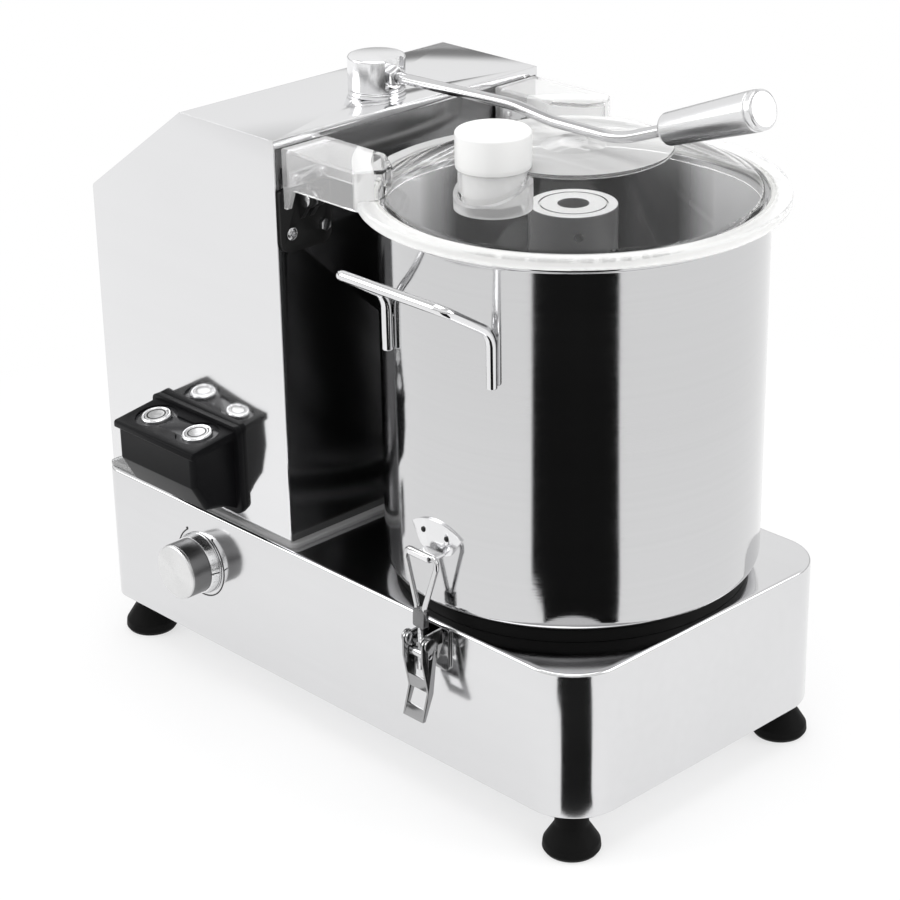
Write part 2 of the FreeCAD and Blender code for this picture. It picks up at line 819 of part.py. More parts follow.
def blade(z0, turn):
    # One S-shaped blade: a ring on the sleeve and two curved arms with a ground edge.
    top = z0 + blade_thickness
    shape = ring(hub_radius, hub_sleeve_radius + 0.1, z0, top)
    reach = blade_reach
    for side in (0, 180):
        a = V(20, -16, z0)
        a_mid = V(reach * 0.62, -21, z0)
        tip = V(reach * 0.985, 8, z0)
        b_mid = V(reach * 0.62, 13, z0)
        b = V(16, 22, z0)
        edges = [Part.Arc(a, a_mid, tip).toShape(), Part.Arc(tip, b_mid, b).toShape(), Part.makeLine(b, a)]
        arm = Part.Face(Part.Wire(edges)).extrude(V(0, 0, blade_thickness))
        arm = arm.cut(disc(hub_sleeve_radius + 0.1, z0 - 1, top + 1))
        bevel = arm.copy()
        bevel.translate(V(0, 3.2, 0))
        lower = bevel.common(arm)
        upper = arm.cut(bevel)
        wedge_top = top - blade_thickness * 0.55
        upper = upper.cut(box(-reach, reach * 2, -80, 80, wedge_top, top + 1))
        arm = lower.fuse(upper)
        arm.rotate(V(0, 0, 0), V(0, 0, 1), side)
        shape = shape.fuse(arm)
    shape = shape.removeSplitter()
    shape.rotate(V(0, 0, 0), V(0, 0, 1), turn)
    return shape


def make_lower_blade():
    return blade(bowl_floor + lower_blade_lift, 20)


def make_upper_blade():
    return blade(bowl_floor + lower_blade_lift + blade_pitch, 110)


def make_blade_spacers():
    z0 = bowl_floor + lower_blade_lift + blade_thickness
    bore = hub_sleeve_radius + 0.1
    middle = ring(hub_radius - 1, bore, z0, z0 + blade_pitch - blade_thickness)
    z1 = z0 + blade_pitch
    clamp = ring(hub_radius - 1, bore, z1, z1 + blade_clamp_height)
    return Part.makeCompound([middle, clamp])


def lid_outer():
    z0 = lid_bottom
    z1 = z0 + lid_flange_height
    boss_top = lid_disc_height + lid_boss_height
    profile = [(0, z0 - lid_skirt_depth), (lid_skirt_radius, z0 - lid_skirt_depth), (lid_skirt_radius, z0),
               (lid_radius, z0), (lid_radius, z1), (lid_cone_radius + 2, z1), (lid_cone_radius, z1 + 1.2),
               (lid_disc_radius, lid_disc_height), (lid_boss_radius, lid_disc_height), (9, boss_top),
               (0, boss_top)]
    return turned(profile, [0, 1, 0, 1.5, 2, 0.8, 0.8, 4, 2, 3, 0])


def lid_inner():
    z0 = lid_bottom
    z1 = z0 + lid_flange_height
    boss_top = lid_disc_height + lid_boss_height - lid_wall
    low = z0 - lid_skirt_depth - 1
    rim = lid_skirt_radius - 3
    top = lid_disc_height - lid_wall
    profile = [(0, low), (rim, low), (rim, z1 - 2.5), (lid_disc_radius - 1, top), (lid_boss_radius - 2, top),
               (7, boss_top), (0, boss_top)]
    return turned(profile, [0, 0, 2, 3, 2, 2, 0])


def arm_points(inset):
    x0 = -column_front + arm_wall_gap + inset
    y0 = arm_inner + inset
    y1 = arm_outer - inset
    tip = -bowl_radius + 62 - inset
    return [(x0, y0), (tip - 27 + inset * 0.6, y0), (tip - 8, y0 + 12 - inset * 0.6), (tip, y0 + 25 - inset),
            (tip - 12 - inset * 0.3, y1), (x0, y1)]


def make_lid_arm():
    z0 = lid_bottom + 0.6
    outer = plate(arm_points(0), [2, 3, 3, 3, 4, 2], z0, arm_top)
    edges = [e for e in outer.Edges if e.BoundBox.ZMin > arm_top - 0.01]
    outer = outer.makeFillet(1.5, edges)
    corners = [0.5, 1, 1, 1, 1, 0.5]
    roof = arm_top - arm_wall
    hollow = plate(arm_points(arm_wall), corners, z0 - 1, roof)
    hollow = hollow.cut(disc(lid_radius - 0.5, z0 - 2, arm_top))
    hollow_top = plate(arm_points(arm_wall), corners, lid_bottom + lid_flange_height, roof)
    x0 = -column_front + hinge_plate_thickness + 0.6
    gusset = side_plate([(x0, z0 + 2), (x0, z0 - 14), (x0 + 4, z0 - 14), (x0 + 10, z0 + 2)],
                        [0, 1, 2, 0], arm_outer - arm_wall, arm_outer)
    return outer.cut([hollow, hollow_top]).fuse(gusset)


def make_lid_shell():
    lid = lid_outer().cut(lid_inner())
    arm = make_lid_arm().cut(lid_inner())
    lid = lid.fuse([arm, mirrored(arm)])
    hole = disc(feed_tube_radius + mount_gap, feed_tube_bottom - 20, feed_tube_top, 0, -feed_offset)
    return lid.cut([hole, lid_gasket_ring()]).removeSplitter()


def make_feed_tube():
    # Clear tube bonded in the hole of the lid, with a collar that bears against the lid from below.
    outer = feed_tube_radius
    tube = disc(outer, feed_tube_bottom, feed_tube_top, 0, -feed_offset)
    collar = disc(outer + feed_collar_width, feed_tube_bottom, lid_disc_height - 8, 0, -feed_offset)
    collar = collar.common(lid_inner())
    bore = disc(outer - feed_tube_wall, feed_tube_bottom - 1, feed_tube_top + 1, 0, -feed_offset)
    return tube.fuse(collar).cut(bore).removeSplitter()


def lid_gasket_ring():
    top = lid_bottom + gasket_seat_depth
    return ring(bowl_radius + gasket_seat_out, bowl_radius - gasket_seat_in, lid_bottom, top)


def make_lid_gasket():
    z0 = lid_bottom - 0.5
    inner = bowl_radius - gasket_seat_in
    outer = bowl_radius + gasket_seat_out
    return turned([(inner, lid_bottom), (inner + 1, z0), (outer - 1, z0), (outer, lid_bottom),
                   (outer, lid_bottom + gasket_seat_depth), (inner, lid_bottom + gasket_seat_depth)])


def make_feed_cap():
    # A skirt outside the tube and a longer hollow plug inside it.
    roof = feed_tube_top + body_gap
    top = roof + cap_crown
    z0 = top - cap_height
    inner = feed_tube_radius + body_gap
    plug = feed_tube_radius - feed_tube_wall - cap_plug_gap
    plug_inner = plug - cap_plug_wall
    low = roof - cap_plug_depth
    profile = [(0, roof), (plug_inner, roof), (plug_inner, low), (plug, low), (plug, roof), (inner, roof),
               (inner, z0), (cap_radius - 0.3, z0), (cap_radius, top), (0, top)]
    return turned(profile, [0, 0.5, 0.3, 0.5, 0, 0.5, 0.3, 0.5, 2.2, 0], 0, -feed_offset)


def bracket_screw_places():
    places = []
    z = hinge_z - bracket_screw_drop
    for side in (-1, 1):
        for y in (arm_inner + bracket_screw_inner, arm_outer - bracket_screw_outer):
            places.append((side * y, z))
    return places


def hinge_ear(y0, y1):
    x0 = -column_front + hinge_plate_thickness - 1
    r = hinge_knuckle_radius + 1
    web = side_plate([(x0, hinge_z - 16), (hinge_x, hinge_z - r), (hinge_x, hinge_z + r), (x0, hinge_z + r)],
                     [0, 0, 0, 0], y0, y1)
    return web.fuse(rod_y(r, y0, y1, hinge_x, hinge_z))


def make_hinge_brackets():
    middle = (arm_inner + arm_outer) / 2
    x0 = -column_front
    x1 = x0 + hinge_plate_thickness
    y0 = arm_inner - 1
    y1 = arm_outer + 3
    z0 = rim_top - hinge_plate_drop
    z1 = lid_bottom - 1.5
    leaf = cross_plate([(y0, z0), (y1, z0), (y1, z1), (y0, z1)], [9, 9, 2, 2], x0, x1)
    half = hinge_knuckle_width / 2 + 0.4
    near = middle - half
    far = middle + half
    bracket = leaf.fuse([hinge_ear(near - hinge_ear_width, near), hinge_ear(far, far + hinge_ear_width)])
    bracket = bracket.cut(rod_y(hinge_pin_radius + mount_gap, middle - 20, middle + 20, hinge_x, hinge_z))
    for y, z in bracket_screw_places():
        bracket = bracket.cut(rod_x(bracket_screw_radius + 0.1, x0 - 1, x1 + 1, y, z))
    return Part.makeCompound([bracket, mirrored(bracket)])


def make_hinge_pins():
    middle = (arm_inner + arm_outer) / 2
    half = hinge_knuckle_width / 2 + 0.4 + hinge_ear_width
    pin = rod_y(hinge_pin_radius, middle - half - 2, middle + half, hinge_x, hinge_z)
    head = rod_y(hinge_pin_radius + 1.8, middle + half, middle + half + 2, hinge_x, hinge_z)
    pin = pin.fuse(head).removeSplitter()
    return Part.makeCompound([pin, mirrored(pin)])


def leaf_screw_places():
    z = lid_bottom + leaf_screw_rise
    return [(arm_inner + leaf_screw_inset, z), (arm_outer - leaf_screw_inset, z)]


def make_hinge_leaves():
    # Steel bar on the rear wall inside each lid arm, with a knuckle that hangs below the arm.
    middle = (arm_inner + arm_outer) / 2
    x0 = -column_front + arm_wall_gap + arm_wall
    x1 = x0 + leaf_thickness
    z1 = lid_bottom + 2 * leaf_screw_rise
    bar = box(x0, x1, arm_inner + 4, arm_outer - 4, lid_bottom + 1, z1)
    half = hinge_knuckle_width / 2
    tab = box(x0, x1, middle - half, middle + half, hinge_z, z1)
    knuckle = rod_y(hinge_knuckle_radius, middle - half, middle + half, hinge_x, hinge_z)
    bore = rod_y(hinge_pin_radius + running_gap, middle - 9, middle + 9, hinge_x, hinge_z)
    leaf = bar.fuse([tab, knuckle]).cut(bore)
    for y, z in leaf_screw_places():
        leaf = leaf.cut(rod_x(leaf_screw_radius + 0.1, x0 - 1, x1 + 1, y, z))
    leaf = leaf.removeSplitter()
    return Part.makeCompound([leaf, mirrored(leaf)])


def make_leaf_screws():
    x = -column_front + arm_wall_gap + arm_wall + leaf_thickness
    shank = leaf_thickness - 0.1
    screws = []
    for y, z in leaf_screw_places():
        for side in (-1, 1):
            screws.append(pan_screw(x, side * y, z, 3.6, 2.2, leaf_screw_radius, shank, V(1, 0, 0)))
    return Part.makeCompound(screws)


def make_bracket_screws():
    x = -column_front + hinge_plate_thickness
    screws = []
    for y, z in bracket_screw_places():
        if abs(y) > (arm_inner + arm_outer) / 2:
            screws.append(pan_screw(x, y, z, 4.4, 2.6, bracket_screw_radius, 8, V(1, 0, 0)))
        else:
            bolt = hex_prism(7.5, x, y, z, 3.2, V(1, 0, 0))
            screws.append(bolt.fuse(rod_x(bracket_screw_radius, x - 8, x, y, z)).removeSplitter())
    return Part.makeCompound(screws)


def make_arm_post():
    z0 = column_top
    z1 = z0 + post_flange_height
    flange = turned([(0, z0), (head_radius, z0), (head_radius, z1), (0, z1)], [0, 0.5, 0.8, 0], post_x)
    post = disc(post_radius, z1, z0 + head_height - 1, post_x)
    stud = disc(stud_radius, z0 - 15, z0, post_x)
    nut = hex_prism(15, post_x, 0, z0 - sheet - 7, 7, V(0, 0, 1))
    return flange.fuse([post, stud, nut]).removeSplitter()


def make_arm_head():
    z0 = column_top + post_flange_height + body_gap
    z1 = z0 + head_height
    head = turned([(0, z0), (head_radius, z0), (head_radius, z1), (0, z1)], [0, 0.6, 1.6, 0], post_x)
    head = head.cut(disc(post_radius + running_gap, z0 - 1, column_top + head_height - 0.5, post_x))
    flat_cut = box(post_x + head_flat, post_x + 30, -8.5, 8.5, z0 + 3, z1 + 5)
    return head.cut([flat_cut, arm_rod_bore()])


def make_arm_nut():
    x = post_x + head_flat
    return hex_prism(13, x, 0, arm_rod_high + 0.4, 6, V(1, 0, 0)).cut(arm_rod_bore())


def rod_points():
    grip_way = V(math.cos(math.radians(grip_slope)), 0, math.sin(math.radians(grip_slope)))
    knee = V(rod_knee_x, 0, arm_rod_low)
    end = knee + grip_way * (grip_start + grip_bore_depth)
    start = V(post_x + 9.4, 0, arm_rod_high)
    return [start, V(-54, 0, arm_rod_high + arm_rod_arch), V(-18, 0, arm_rod_low), knee, end]


def arm_rod_bore():
    start, knee = rod_points()[:2]
    way = knee - start
    way.normalize()
    back = start - way * 0.1
    return Part.makeCylinder(arm_rod_radius + running_gap, 40, back, way)


def make_arm_rod():
    return bent_rod(rod_points(), arm_rod_radius, [arm_rod_bend] * 3)


def make_arm_grip():
    # The grip is turned along the last run of the rod.
    way = math.radians(grip_slope)
    knee = rod_points()[3]
    start = grip_start
    s = grip_small_radius
    b = grip_large_radius
    profile = [(0, start), (s - 3.5, start), (s, start + 4), (b, start + grip_length - 7),
               (b - 1.1, start + grip_length - 6.2), (b - 0.2, start + grip_length - 5.2),
               (b - 1.4, start + grip_length - 1.6), (b * 0.45, start + grip_length), (0, start + grip_length)]
    grip = turned(profile, [0, 1.5, 3, 0.5, 0.4, 0.4, 1.6, 8, 0])
    grip = grip.cut(disc(arm_rod_radius + 0.05, start - 1, start + grip_bore_depth + 0.2))
    turn = FreeCAD.Rotation(V(0, 0, 1), V(math.cos(way), 0, math.sin(way)))
    grip.Placement = FreeCAD.Placement(knee, turn)
    return grip


def make_microswitch():
    z1 = column_top - sheet
    x0 = post_x + 10
    case = box(x0, x0 + switch_body, -5, 5, z1 - 12, z1)
    lever = box(x0 + 2, x0 + switch_body - 2, -2, 2, z1 - 13.5, z1 - 12)
    pins = [box(x0 + 3 + 6 * i, x0 + 5 + 6 * i, -1.5, 1.5, z1 - 19, z1 - 12) for i in range(3)]
    return case.fuse([lever] + pins)


def box_top_z(y):
    share = (-column_half - y) / box_depth
    return box_top + (box_front_top - box_top) * share


def box_tilt():
    return math.atan2(box_top - box_front_top, box_depth)


def button_axis():
    tilt = box_tilt()
    return V(0, -math.sin(tilt), math.cos(tilt))


def button_seat(x):
    y = -column_half - box_depth / 2
    return V(x, y, box_top_z(y))


def on_button_axis(shape, x):
    shape.Placement = FreeCAD.Placement(button_seat(x), FreeCAD.Rotation(V(0, 0, 1), button_axis()))
    return shape


def button_places():
    return [box_x - button_spacing / 2, box_x + button_spacing / 2]


def button_pad(grow, depth):
    # Two joined rounds, sunk into the top of the box.
    half = button_spacing / 2
    waist = pad_waist + grow
    middle = box(-half, half, -waist, waist, -depth, 6)
    ends = [disc(pad_radius + grow, -depth, 6, x) for x in (-half, half)]
    return on_button_axis(middle.fuse(ends).removeSplitter(), box_x)


def make_switch_box():
    y0 = -column_half
    y1 = y0 - box_depth
    half = box_width / 2
    profile = [(y0, box_bottom + 2), (y0 - 8, box_bottom + 6), (y1 + 11, box_bottom + 10),
               (y1, box_bottom + 30), (y1, box_front_top), (y0, box_top)]
    body = cross_plate(profile, [0, 0, 2, 3, 2.5, 0], box_x - half, box_x + half)
    front_edges = [e for e in body.Edges if e.BoundBox.YMax < y1 + 0.01]
    body = body.makeFillet(4.0, [e for e in front_edges if e.BoundBox.XLength < 0.01 and e.Length > 10])
    lip_half = box_lip_width / 2
    lip = side_plate([(box_x - lip_half, box_bottom), (box_x + lip_half, box_bottom),
                      (box_x + lip_half, box_top + 3.5), (box_x - lip_half, box_top + 3.5)],
                     [6, 6, 5, 5], y0 - box_lip_thickness, y0)
    front = y1 - 1.6
    rim_profile = [(y0, box_top - 5), (front, box_front_top - 5), (front, box_front_top + 0.6), (y0, box_top + 0.6)]
    rim = cross_plate(rim_profile, [0, 1.5, 2, 0], box_x - half - 1.6, box_x + half + 1.6)
    body = body.fuse([lip, rim]).removeSplitter()
    body = body.cut(button_pad(0, pad_depth))
    wells = []
    for x in button_places():
        wells.append(on_button_axis(disc(bezel_radius - 1.6, -16, 2), x))
    return body.cut(wells)


def make_switch_plate():
    pad = button_pad(-0.15, pad_depth)
    trim = box(-60, 60, -40, 40, -0.6, 8)
    pad = pad.cut(on_button_axis(trim, box_x))
    for x in button_places():
        pad = pad.cut(on_button_axis(disc(bezel_radius - 1.4, -5, 5), x))
    return pad


def make_button_bezels():
    bezels = []
    inner = button_radius + body_gap
    r = bezel_radius
    for x in button_places():
        flange = turned([(inner, -0.6), (r, -0.6), (r, 1.2), (r - 1, 2.2), (inner + 0.6, 2.2), (inner, 1.5)])
        barrel = ring(r - 1.7, inner, -12, -0.6)
        floor = disc(r - 1.7, -14, -12)
        bezels.append(on_button_axis(flange.fuse([barrel, floor]).removeSplitter(), x))
    return Part.makeCompound(bezels)


def make_button(x):
    low = -12 + button_travel + 1.0
    cap = turned([(0, low), (button_radius, low), (button_radius, 1.9), (0, 1.9)], [0, 0.5, 0.6, 0])
    groove = ring(button_radius - 1.7, button_radius - 2.3, 1.5, 3)
    return on_button_axis(cap.cut(groove), x)


def on_knob_axis(shape):
    shape.Placement = FreeCAD.Placement(V(knob_x, -base_half, knob_z), FreeCAD.Rotation(V(0, 0, 1), V(0, -1, 0)))
    return shape


def knob_turned(profile, radii=None):
    # Profile points are (radius, distance out from the base side).
    return on_knob_axis(turned(profile, radii))


def make_speed_knob():
    r = knob_radius
    top = knob_depth - knob_face_thickness
    shaft = knob_shaft_radius
    shaft_in = -12.0
    profile = [(0, shaft_in), (shaft, shaft_in), (shaft, 5.5), (9, 5.5), (9, 8), (r - 3, 8), (r - 3, 2.0),
               (r - 0.4, 2.0), (r - 0.4, knob_skirt_depth), (r, knob_skirt_depth), (r, top), (0, top)]
    return knob_turned(profile, [0, 0.5, 0.5, 0, 0, 0, 0, 0, 0, 0.4, 0.8, 0])


def make_knob_face():
    r = knob_radius
    d = knob_depth
    low = d - knob_face_thickness
    return knob_turned([(0, low), (r - 0.3, low), (r - 0.3, d - 0.9), (r - 1.2, d), (0, d - 0.1)])


def make_knob_skirt():
    r = knob_skirt_radius
    t = knob_skirt_depth
    inner = knob_radius - 0.4
    skirt = knob_turned([(inner, body_gap), (r, body_gap), (r, 1.8), (knob_radius + 0.9, t), (inner, t)])
    x0 = knob_x + knob_radius - 1.5
    mark = box(x0, knob_x + r + 1, -base_half - t - 1, -base_half - 1.6, knob_z - 0.5, knob_z + 0.5)
    return skirt.cut(mark)


def make_speed_pot():
    case = knob_turned([(0, -18), (pot_radius, -18), (pot_radius, -sheet), (0, -sheet)], [0, 1, 1, 0])
    neck = knob_turned([(0, -sheet), (pot_neck_radius, -sheet), (pot_neck_radius, 2.4), (0, 2.4)])
    nut = on_knob_axis(hex_prism(12, 0, 0, 0.0, 2.2, V(0, 0, 1)))
    bore = knob_shaft_radius + running_gap
    return case.fuse([neck, nut]).cut(knob_turned([(0, -13), (bore, -13), (bore, 4), (0, 4)]))


def make_speed_marks():
    # Raised printing: a swept arc under the knob and a dot at each end of the travel.
    band = ring(knob_skirt_radius + 3.2, knob_skirt_radius + 2.2, 0, 0.2)
    wedge = Part.Face(outline([V(0, 0, -1), V(-34, 55, -1), V(34, 55, -1)])).extrude(V(0, 0, 3))
    arc = band.cut(wedge)
    dots = []
    for side in (-1, 1):
        dots.append(disc(1.1, 0, 0.2, side * 14.2, 22.4))
    marks = []
    for shape in [arc] + dots:
        shape.Placement = FreeCAD.Placement(V(knob_x, -base_half, knob_z), FreeCAD.Rotation(V(1, 0, 0), 90))
        marks.append(shape)
    return Part.makeCompound(marks)


def latch_y(out):
    return -base_half - out


def ear_shape(root_out, radius, x0, x1):
    root = latch_y(root_out)
    py = latch_y(latch_pivot_out)
    pz = latch_pivot_z
    web = cross_plate([(root, pz - 4.5), (py, pz - radius), (py, pz + radius), (root, pz + radius + 1)],
                      [0, 0, 0, 0], x0, x1)
    return web.fuse(rod_x(radius, x0, x1, py, pz))


def make_latch_bracket():
    low = deck_z - latch_bracket_drop
    top = deck_z - 1
    back = side_plate([(-13, low), (13, low), (13, top), (-13, top)], [4, 4, 2, 2], latch_y(2), latch_y(0))
    py = latch_y(latch_pivot_out)
    pz = latch_pivot_z
    out = latch_cheek_inner - 0.6
    parts = [back]
    for side in (-1, 1):
        x0 = min(side * out, side * (out - latch_ear_thickness))
        parts.append(ear_shape(1.0, 5.2, x0, x0 + latch_ear_thickness))
        cheek_end = latch_cheek_inner + latch_cheek_thickness
        p0 = min(side * (out - 0.9), side * (cheek_end + 0.4))
        parts.append(rod_x(latch_pin_radius, p0, p0 + cheek_end + 0.4 - out + 0.9, py, pz))
        h0 = min(side * (cheek_end + 0.4), side * (cheek_end + 2.0))
        parts.append(rod_x(4.6, h0, h0 + 1.6, py, pz))
    for rise in (5, 14):
        parts.append(rod_y(2.6, latch_y(3.2), latch_y(2), 0, low + rise))
    return parts[0].fuse(parts[1:]).removeSplitter()


def make_latch_lever():
    # Two cheeks with a bridge at the lower end, drawn in the closed position.
    py = latch_y(latch_pivot_out)
    pz = latch_pivot_z
    low = latch_lever_bottom
    ty = latch_y(latch_trunnion_out)
    tz = latch_trunnion_z
    cheek_points = [(py + 5.6, pz - 3), (py + 5.6, pz + 4.2), (py - 5.6, pz + 4.2), (py - 5.6, pz - 12),
                    (latch_y(17.5), low + 20), (latch_y(23), low), (latch_y(20.5), low), (latch_y(13), low + 18),
                    (latch_y(10), tz - 6)]
    radii = [0, 5, 5, 6, 6, 0.8, 0.8, 6, 5]
    t = latch_cheek_thickness
    inner = latch_cheek_inner
    parts = []
    for side in (-1, 1):
        x0 = min(side * inner, side * (inner + t))
        cheek = cross_plate(cheek_points, radii, x0, x0 + t)
        parts.append(cheek)
    bridge_profile = [(latch_y(23), low), (latch_y(20.5), low), (latch_y(18.9), low + 8), (latch_y(20.4), low + 8)]
    bridge = cross_plate(bridge_profile, [0, 0, 0, 0], -inner - t, inner + t)
    brace = cross_plate([(latch_y(13.4), low + 18), (latch_y(17.4), low + 20), (latch_y(19.2), low + 30),
                         (latch_y(17.6), low + 30), (latch_y(16.4), low + 21), (latch_y(13.2), low + 20)],
                        [0, 0, 0, 0, 0, 0], -inner, inner)
    lever = parts[0].fuse([parts[1], bridge, brace]).removeSplitter()
    holes = [rod_x(latch_pin_radius + running_gap, -20, 20, py, pz),
             rod_x(latch_trunnion_pin + running_gap, -20, 20, ty, tz)]
    return lever.cut(holes)


def make_latch_bail():
    # Wire loop, clamp block, threaded rod and the trunnion that the rod screws through.
    top = V(0, latch_y(latch_bar_out), latch_bar_z)
    low = V(0, latch_y(latch_trunnion_out), latch_trunnion_z)
    way = top - low
    way.normalize()
    neck = low + way * 25
    fork = neck + way * 8
    shoulder = top - way * 7
    r = latch_wire_radius
    w = latch_bar_half - r
    n = 2 * r
    points = [V(-n, neck.y, neck.z), V(-n, fork.y, fork.z), V(-w, shoulder.y, shoulder.z), V(-w, top.y, top.z),
              V(w, top.y, top.z), V(w, shoulder.y, shoulder.z), V(n, fork.y, fork.z), V(n, neck.y, neck.z)]
    loop = bent_rod(points, r, [latch_wire_bend] * 6)
    block = box(-5.2, 5.2, -2.6, 2.6, -6, 7)
    block = block.makeFillet(1.2, [e for e in block.Edges if e.BoundBox.ZLength > 10])
    block.Placement = FreeCAD.Placement(neck, FreeCAD.Rotation(V(0, 0, 1), way))
    tail = low - way * 12
    thread = Part.makeCylinder(latch_thread_radius, (neck - tail).Length, tail, way)
    for i in range(14):
        place = tail + way * (1.2 + latch_thread_pitch * i)
        near_block = (place - neck).Length < 9
        if near_block or (place - low).Length < latch_trunnion_radius + 1.5:
            continue
        outer = Part.makeCylinder(latch_thread_radius + 1, 0.9, place, way)
        inner = Part.makeCylinder(latch_thread_radius - 0.35, 0.9, place, way)
        thread = thread.cut(outer.cut(inner))
    barrel = rod_x(latch_trunnion_radius, -latch_cheek_inner + 0.6, latch_cheek_inner - 0.6, low.y, low.z)
    barrel_end = latch_cheek_inner + latch_cheek_thickness
    pins = rod_x(latch_trunnion_pin, -barrel_end, barrel_end, low.y, low.z)
    return loop.fuse([block, thread, barrel, pins]).removeSplitter()


def save(name, shape):
    moved = shape.copy()
    moved.translate(V(frame_shift, 0, 0))
    moved.exportStep("parts/" + name + ".step")


def main():
    os.makedirs("parts", exist_ok=True)
    handle = make_bowl_handle()
    catch = make_catch()
    bracket = make_latch_bracket()
    lever = make_latch_lever()
    bail = make_latch_bail()
    nodes = {
        "base_shell": make_base_shell(),
        "bottom_plate": make_bottom_plate(),
        "feet": make_feet(),
        "foot_bolts": make_foot_bolts(),
        "cable_gland": make_cable_gland(),
        "column_gasket": make_column_gasket(),
        "column_shell": make_column_shell(),
        "front_panel": make_front_panel(),
        "bowl_seat": make_bowl_seat(),
        "spindle_housing": make_spindle_housing(),
        "spindle_bearings": make_spindle_bearings(),
        "spindle_shaft": make_spindle_shaft(),
        "spindle_pulley": make_spindle_pulley(),
        "drive_belt": make_drive_belt(),
        "motor_plate": make_motor_plate(),
        "motor_body": make_motor_body(),
        "motor_shaft": make_motor_shaft(),
        "motor_pulley": make_motor_pulley(),
        "control_board": make_control_board(),
        "capacitor": make_capacitor(),
        "bowl": make_bowl(),
        "handle_near": handle,
        "handle_far": mirrored(handle),
        "catch_near": catch,
        "catch_far": mirrored(catch),
        "catch_rivets": make_catch_rivets(),
        "blade_hub": make_blade_hub(),
        "lower_blade": make_lower_blade(),
        "upper_blade": make_upper_blade(),
        "blade_spacers": make_blade_spacers(),
        "lid_shell": make_lid_shell(),
        "feed_tube": make_feed_tube(),
        "lid_gasket": make_lid_gasket(),
        "feed_cap": make_feed_cap(),
        "hinge_leaves": make_hinge_leaves(),
        "leaf_screws": make_leaf_screws(),
        "hinge_brackets": make_hinge_brackets(),
        "hinge_pins": make_hinge_pins(),
        "bracket_screws": make_bracket_screws(),
        "arm_post": make_arm_post(),
        "arm_head": make_arm_head(),
        "arm_nut": make_arm_nut(),
        "arm_rod": make_arm_rod(),
        "arm_grip": make_arm_grip(),
        "microswitch": make_microswitch(),
        "switch_box": make_switch_box(),
        "switch_plate": make_switch_plate(),
        "button_bezels": make_button_bezels(),
        "button_on": make_button(button_places()[0]),
        "button_off": make_button(button_places()[1]),
        "speed_knob": make_speed_knob(),
        "knob_face": make_knob_face(),
        "knob_skirt": make_knob_skirt(),
        "speed_pot": make_speed_pot(),
        "speed_marks": make_speed_marks(),
        "latch_brackets": Part.makeCompound([bracket, mirrored(bracket)]),
        "latch_lever_near": lever,
        "latch_lever_far": mirrored(lever),
        "latch_bail_near": bail,
        "latch_bail_far": mirrored(bail),
    }
    for name in nodes:
        save(name, nodes[name])
    print(len(nodes), "nodes written")


main()
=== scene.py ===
import bpy
import bmesh
import json
import math
from mathutils import Matrix, Quaternion, Vector


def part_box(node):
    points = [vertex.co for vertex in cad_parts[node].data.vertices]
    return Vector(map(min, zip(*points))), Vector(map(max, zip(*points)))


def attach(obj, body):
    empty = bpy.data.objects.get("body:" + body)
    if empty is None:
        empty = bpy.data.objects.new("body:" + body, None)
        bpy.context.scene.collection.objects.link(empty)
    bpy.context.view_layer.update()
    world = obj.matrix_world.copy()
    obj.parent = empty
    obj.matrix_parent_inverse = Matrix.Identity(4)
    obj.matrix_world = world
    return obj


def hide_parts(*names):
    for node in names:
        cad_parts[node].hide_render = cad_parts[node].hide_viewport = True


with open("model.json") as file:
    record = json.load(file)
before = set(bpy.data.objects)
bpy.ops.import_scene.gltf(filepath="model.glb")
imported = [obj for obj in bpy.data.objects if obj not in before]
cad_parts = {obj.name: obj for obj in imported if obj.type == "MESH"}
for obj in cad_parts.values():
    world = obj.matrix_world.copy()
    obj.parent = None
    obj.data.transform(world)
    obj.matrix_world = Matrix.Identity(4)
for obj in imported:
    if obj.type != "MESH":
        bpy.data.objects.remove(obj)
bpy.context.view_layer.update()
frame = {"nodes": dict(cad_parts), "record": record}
print("frame loaded")

# Sizes in mm, about the spindle axis, as in the part's source. Node names tell which part a piece shows.
mm = 0.001
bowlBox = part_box("bowl")
axisX = (bowlBox[0][0] + bowlBox[1][0]) / 2
record = frame["record"]
bodyOf = {node: body for body, nodes in record["behaviour"]["bodies"].items() for node in nodes}


def place(x, y, z):
    return Vector((axisX + x * mm, y * mm, z * mm))


# Materials: shared effects give values and colours only
def addNode(tree, kind, **values):
    node = tree.nodes.new(kind)
    for key, value in values.items():
        setattr(node, key, value)
    return node


def makeGroup(name, inputs, outputs):
    group = bpy.data.node_groups.new(name, "ShaderNodeTree")
    for label, kind, value in inputs:
        socket = group.interface.new_socket(name=label, in_out="INPUT", socket_type=kind)
        socket.default_value = value
    for label, kind in outputs:
        group.interface.new_socket(name=label, in_out="OUTPUT", socket_type=kind)
    start = addNode(group, "NodeGroupInput")
    end = addNode(group, "NodeGroupOutput")
    return group, start, end


def mathNode(tree, operation, first, second=None, clamp=False):
    node = addNode(tree, "ShaderNodeMath", operation=operation, use_clamp=clamp)
    for index, value in enumerate((first, second)):
        if value is None:
            continue
        if isinstance(value, (int, float)):
            node.inputs[index].default_value = value
        else:
            tree.links.new(value, node.inputs[index])
    return node.outputs[0]


def times(tree, first, second):
    return mathNode(tree, "MULTIPLY", first, second)


def plus(tree, first, second, clamp=False):
    return mathNode(tree, "ADD", first, second, clamp)


def spread(tree, value, low, high, toLow=0.0, toHigh=1.0):
    node = addNode(tree, "ShaderNodeMapRange")
    tree.links.new(value, node.inputs["Value"])
    node.inputs["From Min"].default_value = low
    node.inputs["From Max"].default_value = high
    node.inputs["To Min"].default_value = toLow
    node.inputs["To Max"].default_value = toHigh
    return node.outputs["Result"]


